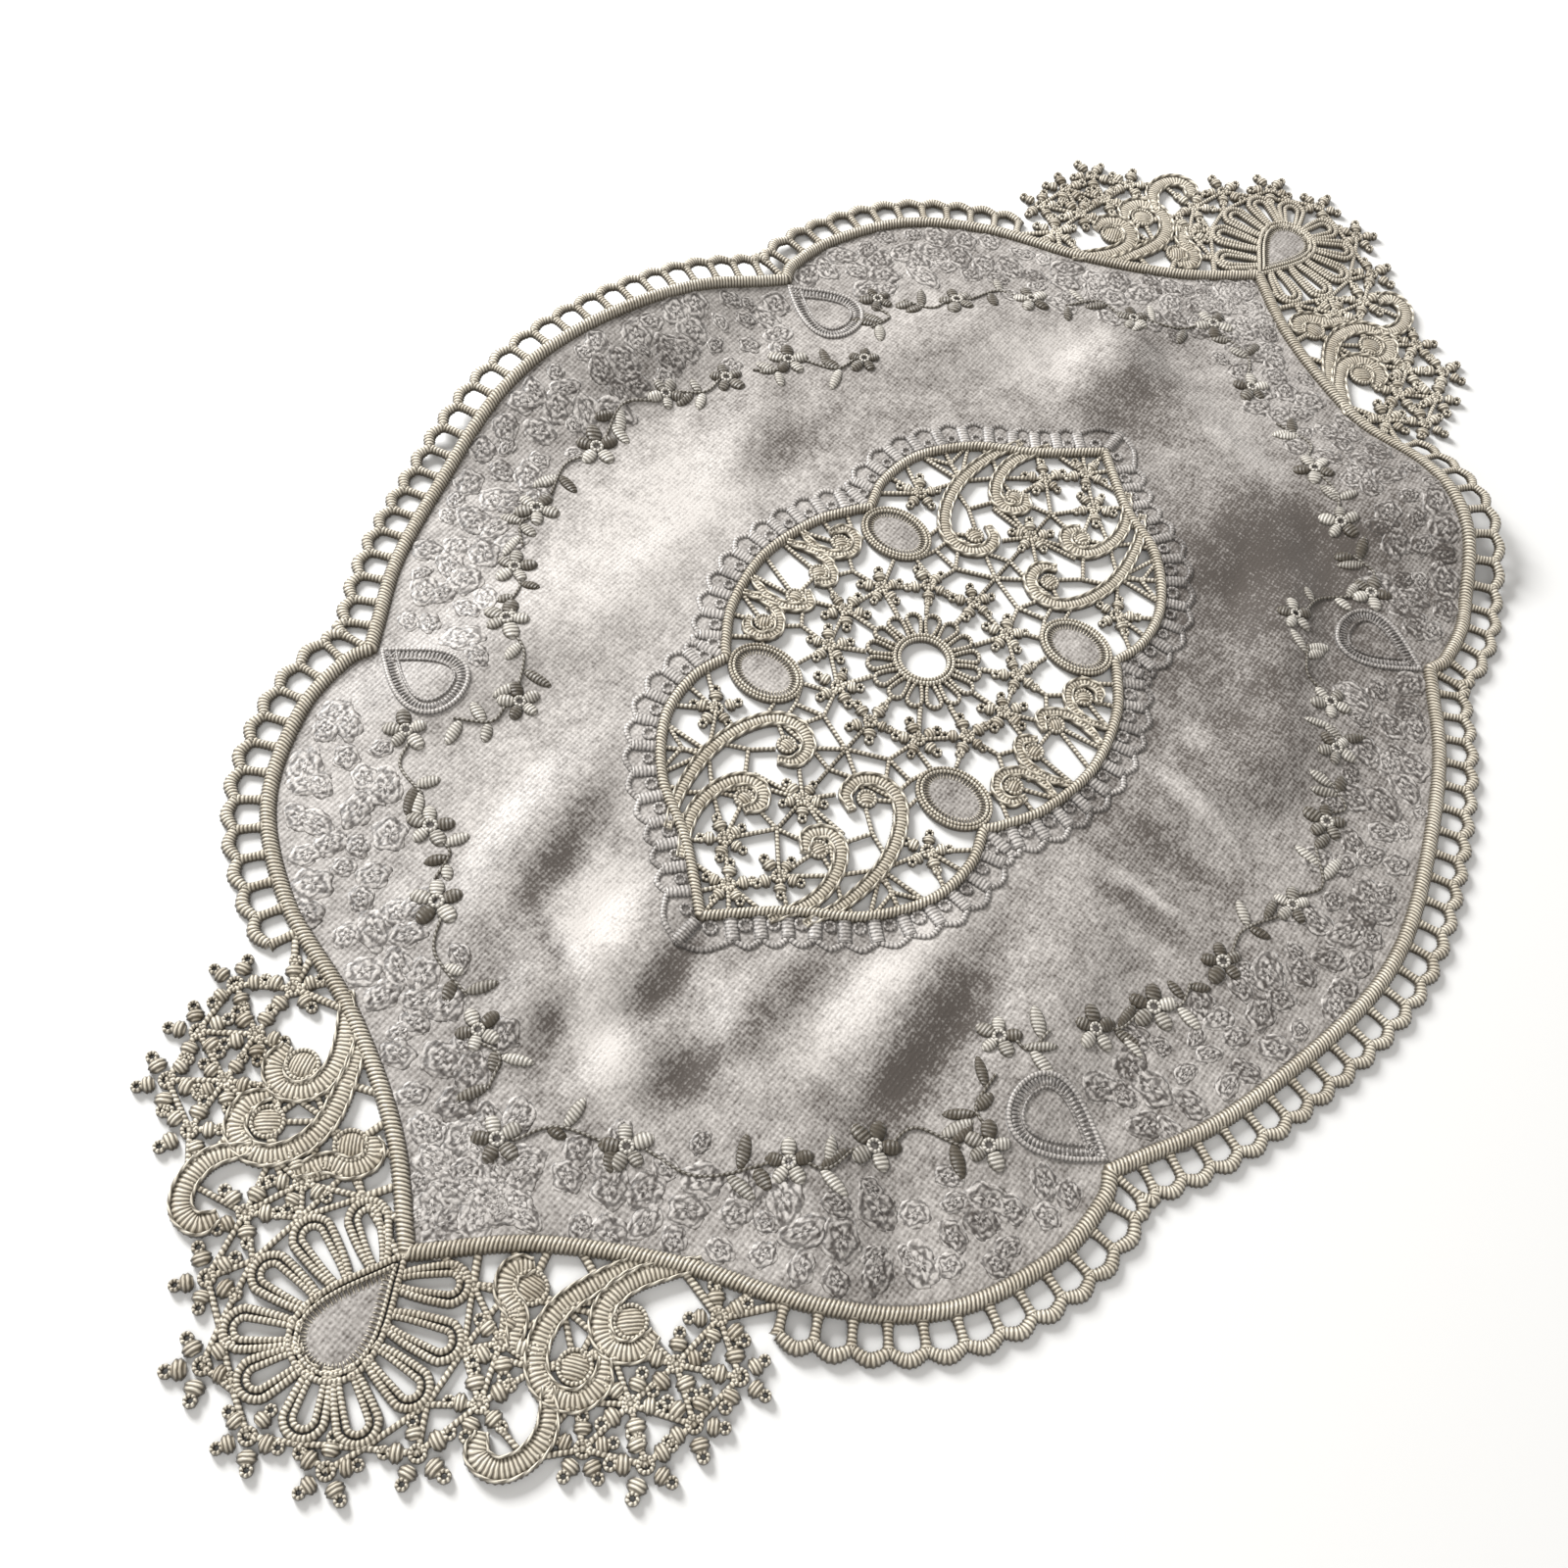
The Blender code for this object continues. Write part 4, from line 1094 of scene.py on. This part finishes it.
def notch_drops():
    """Embroidered drops on the satin, one inside each notch of the outline."""
    shapes = []
    turn = even_turns(40, 0.5)
    along = (1 - np.cos(turn)) / 2
    corner = np.column_stack([NOTCH[0] - 1.5 + NOTCH_DROP_WIDTH * np.sin(turn) * along ** 0.6,
                              NOTCH[1] - 2.0 - NOTCH_DROP_LENGTH * along])
    level = SATIN_TOP - 0.25
    for flip_x, flip_y in QUADRANTS:
        outline = flipped(corner, flip_x, flip_y)[::-flip_x * flip_y]
        shapes.append(thread(outline, 1.2, 1.0, level, sides=6, closed=True, tone=0.5))
        shapes.append(ticks(outline, 2.5, 0.85, 0.7, level, 1.0, 0.45))
        shapes.append(thread(moved_out(outline, -3.0), 0.8, 0.8, level, sides=5, closed=True,
                             tone=0.1))
    return shapes


class PlacematSettings(bpy.types.PropertyGroup):
    """Sizes and colours of the placemat that a user would change."""

    cord_width: bpy.props.FloatProperty(
        name="Cord width", description="Width of the stitched cords", default=0.0034,
        unit="LENGTH")
    cord_height: bpy.props.FloatProperty(
        name="Cord height", description="Height of the stitched cords", default=0.0026,
        unit="LENGTH")
    cord_pitch: bpy.props.FloatProperty(
        name="Stitch pitch", description="Distance between the cord's stitches",
        default=0.0009, unit="LENGTH")
    # The light and dark thread colours are the ends of one mix, whose share holds random tone and
    # the painted highlight on each stitch; the painted shade of grooves and flanks is laid over it
    thread_light: bpy.props.FloatVectorProperty(
        name="Light thread", description="Thread colour on the stitches", subtype="COLOR",
        default=(0.92, 0.855, 0.72))
    thread_dark: bpy.props.FloatVectorProperty(
        name="Dark thread", description="Thread colour in the dull places", subtype="COLOR",
        default=(0.24, 0.185, 0.115))
    # The light and dark satin colours are the ends of one mix, whose share holds the painted
    # sheen, the weave, and clouds of uneven tone and painted sheen
    satin_light: bpy.props.FloatVectorProperty(
        name="Light satin", description="Satin colour where it shines", subtype="COLOR",
        default=(0.61, 0.576, 0.543))
    satin_dark: bpy.props.FloatVectorProperty(
        name="Dark satin", description="Satin colour where it is dull", subtype="COLOR",
        default=(0.088, 0.074, 0.064))
    light_power: bpy.props.FloatProperty(
        name="Light", description="Power of the window light", default=20.5, unit="POWER")


class PLACEMAT_OT_materials(bpy.types.Operator):
    """Make the shared node groups and the thread and satin materials"""

    bl_idname = "placemat.materials"
    bl_label = "Placemat Materials"

    def execute(self, context):
        look = settings()
        stitch_group()
        cloud_group()
        # For threads the numbers after the colours are the painted shade in the grooves, the
        # painted shade down the flanks and the roughness; for satin, the roughness and then the
        # painted shade in the grooves
        thread_material("stitched_lace", look.thread_light, look.thread_dark, 0.7, 0.96, 0.5)
        thread_material("stitched_cord", look.thread_light, look.thread_dark, 0.82, 0.8, 0.45)
        satin_material("stitched_tone", look.satin_light, look.satin_dark, 0.45, 0.66)
        thread_material("stitched_spray", SPRAY_LIGHT, SPRAY_DARK, 0.5, 0.6, 0.45)
        satin_material("woven_satin", look.satin_light, look.satin_dark, 0.5)
        return {"FINISHED"}


class PLACEMAT_OT_cloth(bpy.types.Operator):
    """Build the satin sheet and its satin inlays"""

    bl_idname = "placemat.cloth"
    bl_label = "Satin Cloth"

    def execute(self, context):
        satin = "woven_satin"
        # The satin's tone is the painted sheen alone
        new_piece("satin_cloth", [satin_sheet()], satin, ["satin_field"], True)
        drops = [panel(drop_outline(flip, INLAY_LAP)) for flip in (1, -1)]
        new_piece("satin_drops", drops, satin, ["satin_drop_right", "satin_drop_left"])
        ovals = [panel(oval_outline(flips, INLAY_LAP)) for flips in QUADRANTS]
        new_piece("satin_ovals", ovals, satin,
                  ["satin_oval_right_back", "satin_oval_right_front",
                   "satin_oval_left_back", "satin_oval_left_front"])
        return {"FINISHED"}


class PLACEMAT_OT_cords(bpy.types.Operator):
    """Build the stitched cords round the cloth and round its opening"""

    bl_idname = "placemat.cords"
    bl_label = "Stitched Cords"

    def execute(self, context):
        look = settings()
        for node, lobes, share in (("edge_cord", CLOTH_LOBES, 1.0),
                                   ("middle_cord", OPENING_LOBES, 0.76)):
            cord = thread(lobed_outline(lobes, 0.5), share * look.cord_width / MM,
                          look.cord_height / MM, 0.0, look.cord_pitch / MM, 0.07, 3.4, 10,
                          closed=True, samples=3)
            new_piece(node + "_stitched", [cord], "stitched_cord", [node])
        return {"FINISHED"}


class PLACEMAT_OT_border(bpy.types.Operator):
    """Build the ladder edging and the lace fans"""

    bl_idname = "placemat.border"
    bl_label = "Lace Border"

    def execute(self, context):
        for name, shapes in (("ladder_edging", ladder_shapes()),
                             ("lace_fan_right", fan_shapes(1)),
                             ("lace_fan_left", fan_shapes(-1))):
            new_piece(name, shapes, "stitched_lace", ["lace_border"])
        return {"FINISHED"}


class PLACEMAT_OT_middle(bpy.types.Operator):
    """Build the lace of the middle opening"""

    bl_idname = "placemat.middle"
    bl_label = "Middle Lace"

    def execute(self, context):
        new_piece("middle_lace_stitched", middle_shapes(), "stitched_lace",
                  ["middle_lace"])
        return {"FINISHED"}


class PLACEMAT_OT_embroidery(bpy.types.Operator):
    """Build the embroidery on the satin"""

    bl_idname = "placemat.embroidery"
    bl_label = "Embroidery"

    def execute(self, context):
        for name, shapes in (("edge_roses", rose_field()), ("opening_shells", shells()),
                             ("notch_drops", notch_drops())):
            # The embroidery on the satin takes the satin's painted sheen into its tone
            new_piece(name, shapes, "stitched_tone", sheen=True)
        new_piece("flower_sprays", sprays(), "stitched_spray")
        return {"FINISHED"}


class PLACEMAT_OT_stage(bpy.types.Operator):
    """Set up the pale floor, the soft window light and the camera"""

    bl_idname = "placemat.stage"
    bl_label = "Stage"

    def execute(self, context):
        scene = bpy.context.scene
        bpy.ops.mesh.primitive_plane_add(size=6.0)
        floor = bpy.context.object
        floor.name = "floor"
        material, _, shader = new_material("pale_floor", 0.7, 0.0)
        shader.inputs["Base Color"].default_value = FLOOR_COLOUR
        floor.data.materials.append(material)
        world = bpy.data.worlds.new("soft_room")
        world.use_nodes = True
        sky = world.node_tree.nodes["Background"].inputs
        sky["Color"].default_value = ROOM_COLOUR
        sky["Strength"].default_value = ROOM_STRENGTH
        scene.world = world
        scene.view_settings.view_transform = "Standard"
        for name, place, size, share in LIGHTS:
            light = bpy.data.lights.new(name, "AREA")
            light.size = size
            light.energy = settings().light_power * share
            lamp = bpy.data.objects.new(name, light)
            lamp.location = place
            aim = -lamp.location
            lamp.rotation_euler = aim.to_track_quat("-Z", "Y").to_euler()
            scene.collection.objects.link(lamp)
        add_camera(scene)
        return {"FINISHED"}


def add_camera(scene):
    """The camera at the photo's angle, rolled about its own view."""
    data = bpy.data.cameras.new("view")
    data.lens = CAMERA_LENS
    data.sensor_width = SENSOR_WIDTH
    camera = bpy.data.objects.new("view", data)
    camera.location = CAMERA_PLACE
    aim = np.subtract(CAMERA_TARGET, CAMERA_PLACE)
    look = Vector(aim).to_track_quat("-Z", "Y")
    roll = Quaternion((0, 0, 1), math.radians(CAMERA_ROLL))
    camera.rotation_euler = (look @ roll).to_euler()
    scene.collection.objects.link(camera)
    scene.camera = camera


class PLACEMAT_PT_panel(bpy.types.Panel):
    """The placemat's pieces and settings"""

    bl_label = "Lace Placemat"
    bl_idname = "PLACEMAT_PT_panel"
    bl_space_type = "VIEW_3D"
    bl_region_type = "UI"
    bl_category = "Placemat"

    def draw(self, context):
        look = context.scene.placemat
        for name in look.bl_rna.properties.keys():
            if name not in ("rna_type", "name"):
                self.layout.prop(look, name)
        for operator in OPERATORS:
            self.layout.operator(operator.bl_idname)


OPERATORS = (PLACEMAT_OT_materials, PLACEMAT_OT_cloth, PLACEMAT_OT_cords, PLACEMAT_OT_border,
             PLACEMAT_OT_middle, PLACEMAT_OT_embroidery, PLACEMAT_OT_stage)


def register():
    for item in (PlacematSettings, *OPERATORS, PLACEMAT_PT_panel):
        bpy.utils.register_class(item)
    bpy.types.Scene.placemat = bpy.props.PointerProperty(type=PlacematSettings)


def unregister():
    del bpy.types.Scene.placemat
    for item in (PLACEMAT_PT_panel, *reversed(OPERATORS), PlacematSettings):
        bpy.utils.unregister_class(item)


def main():
    register()
    bpy.ops.placemat.materials()
    bpy.ops.placemat.cloth()
    bpy.ops.placemat.cords()
    bpy.ops.placemat.border()
    bpy.ops.placemat.middle()
    bpy.ops.placemat.embroidery()
    bpy.ops.placemat.stage()


if __name__ == "__main__":
    main()
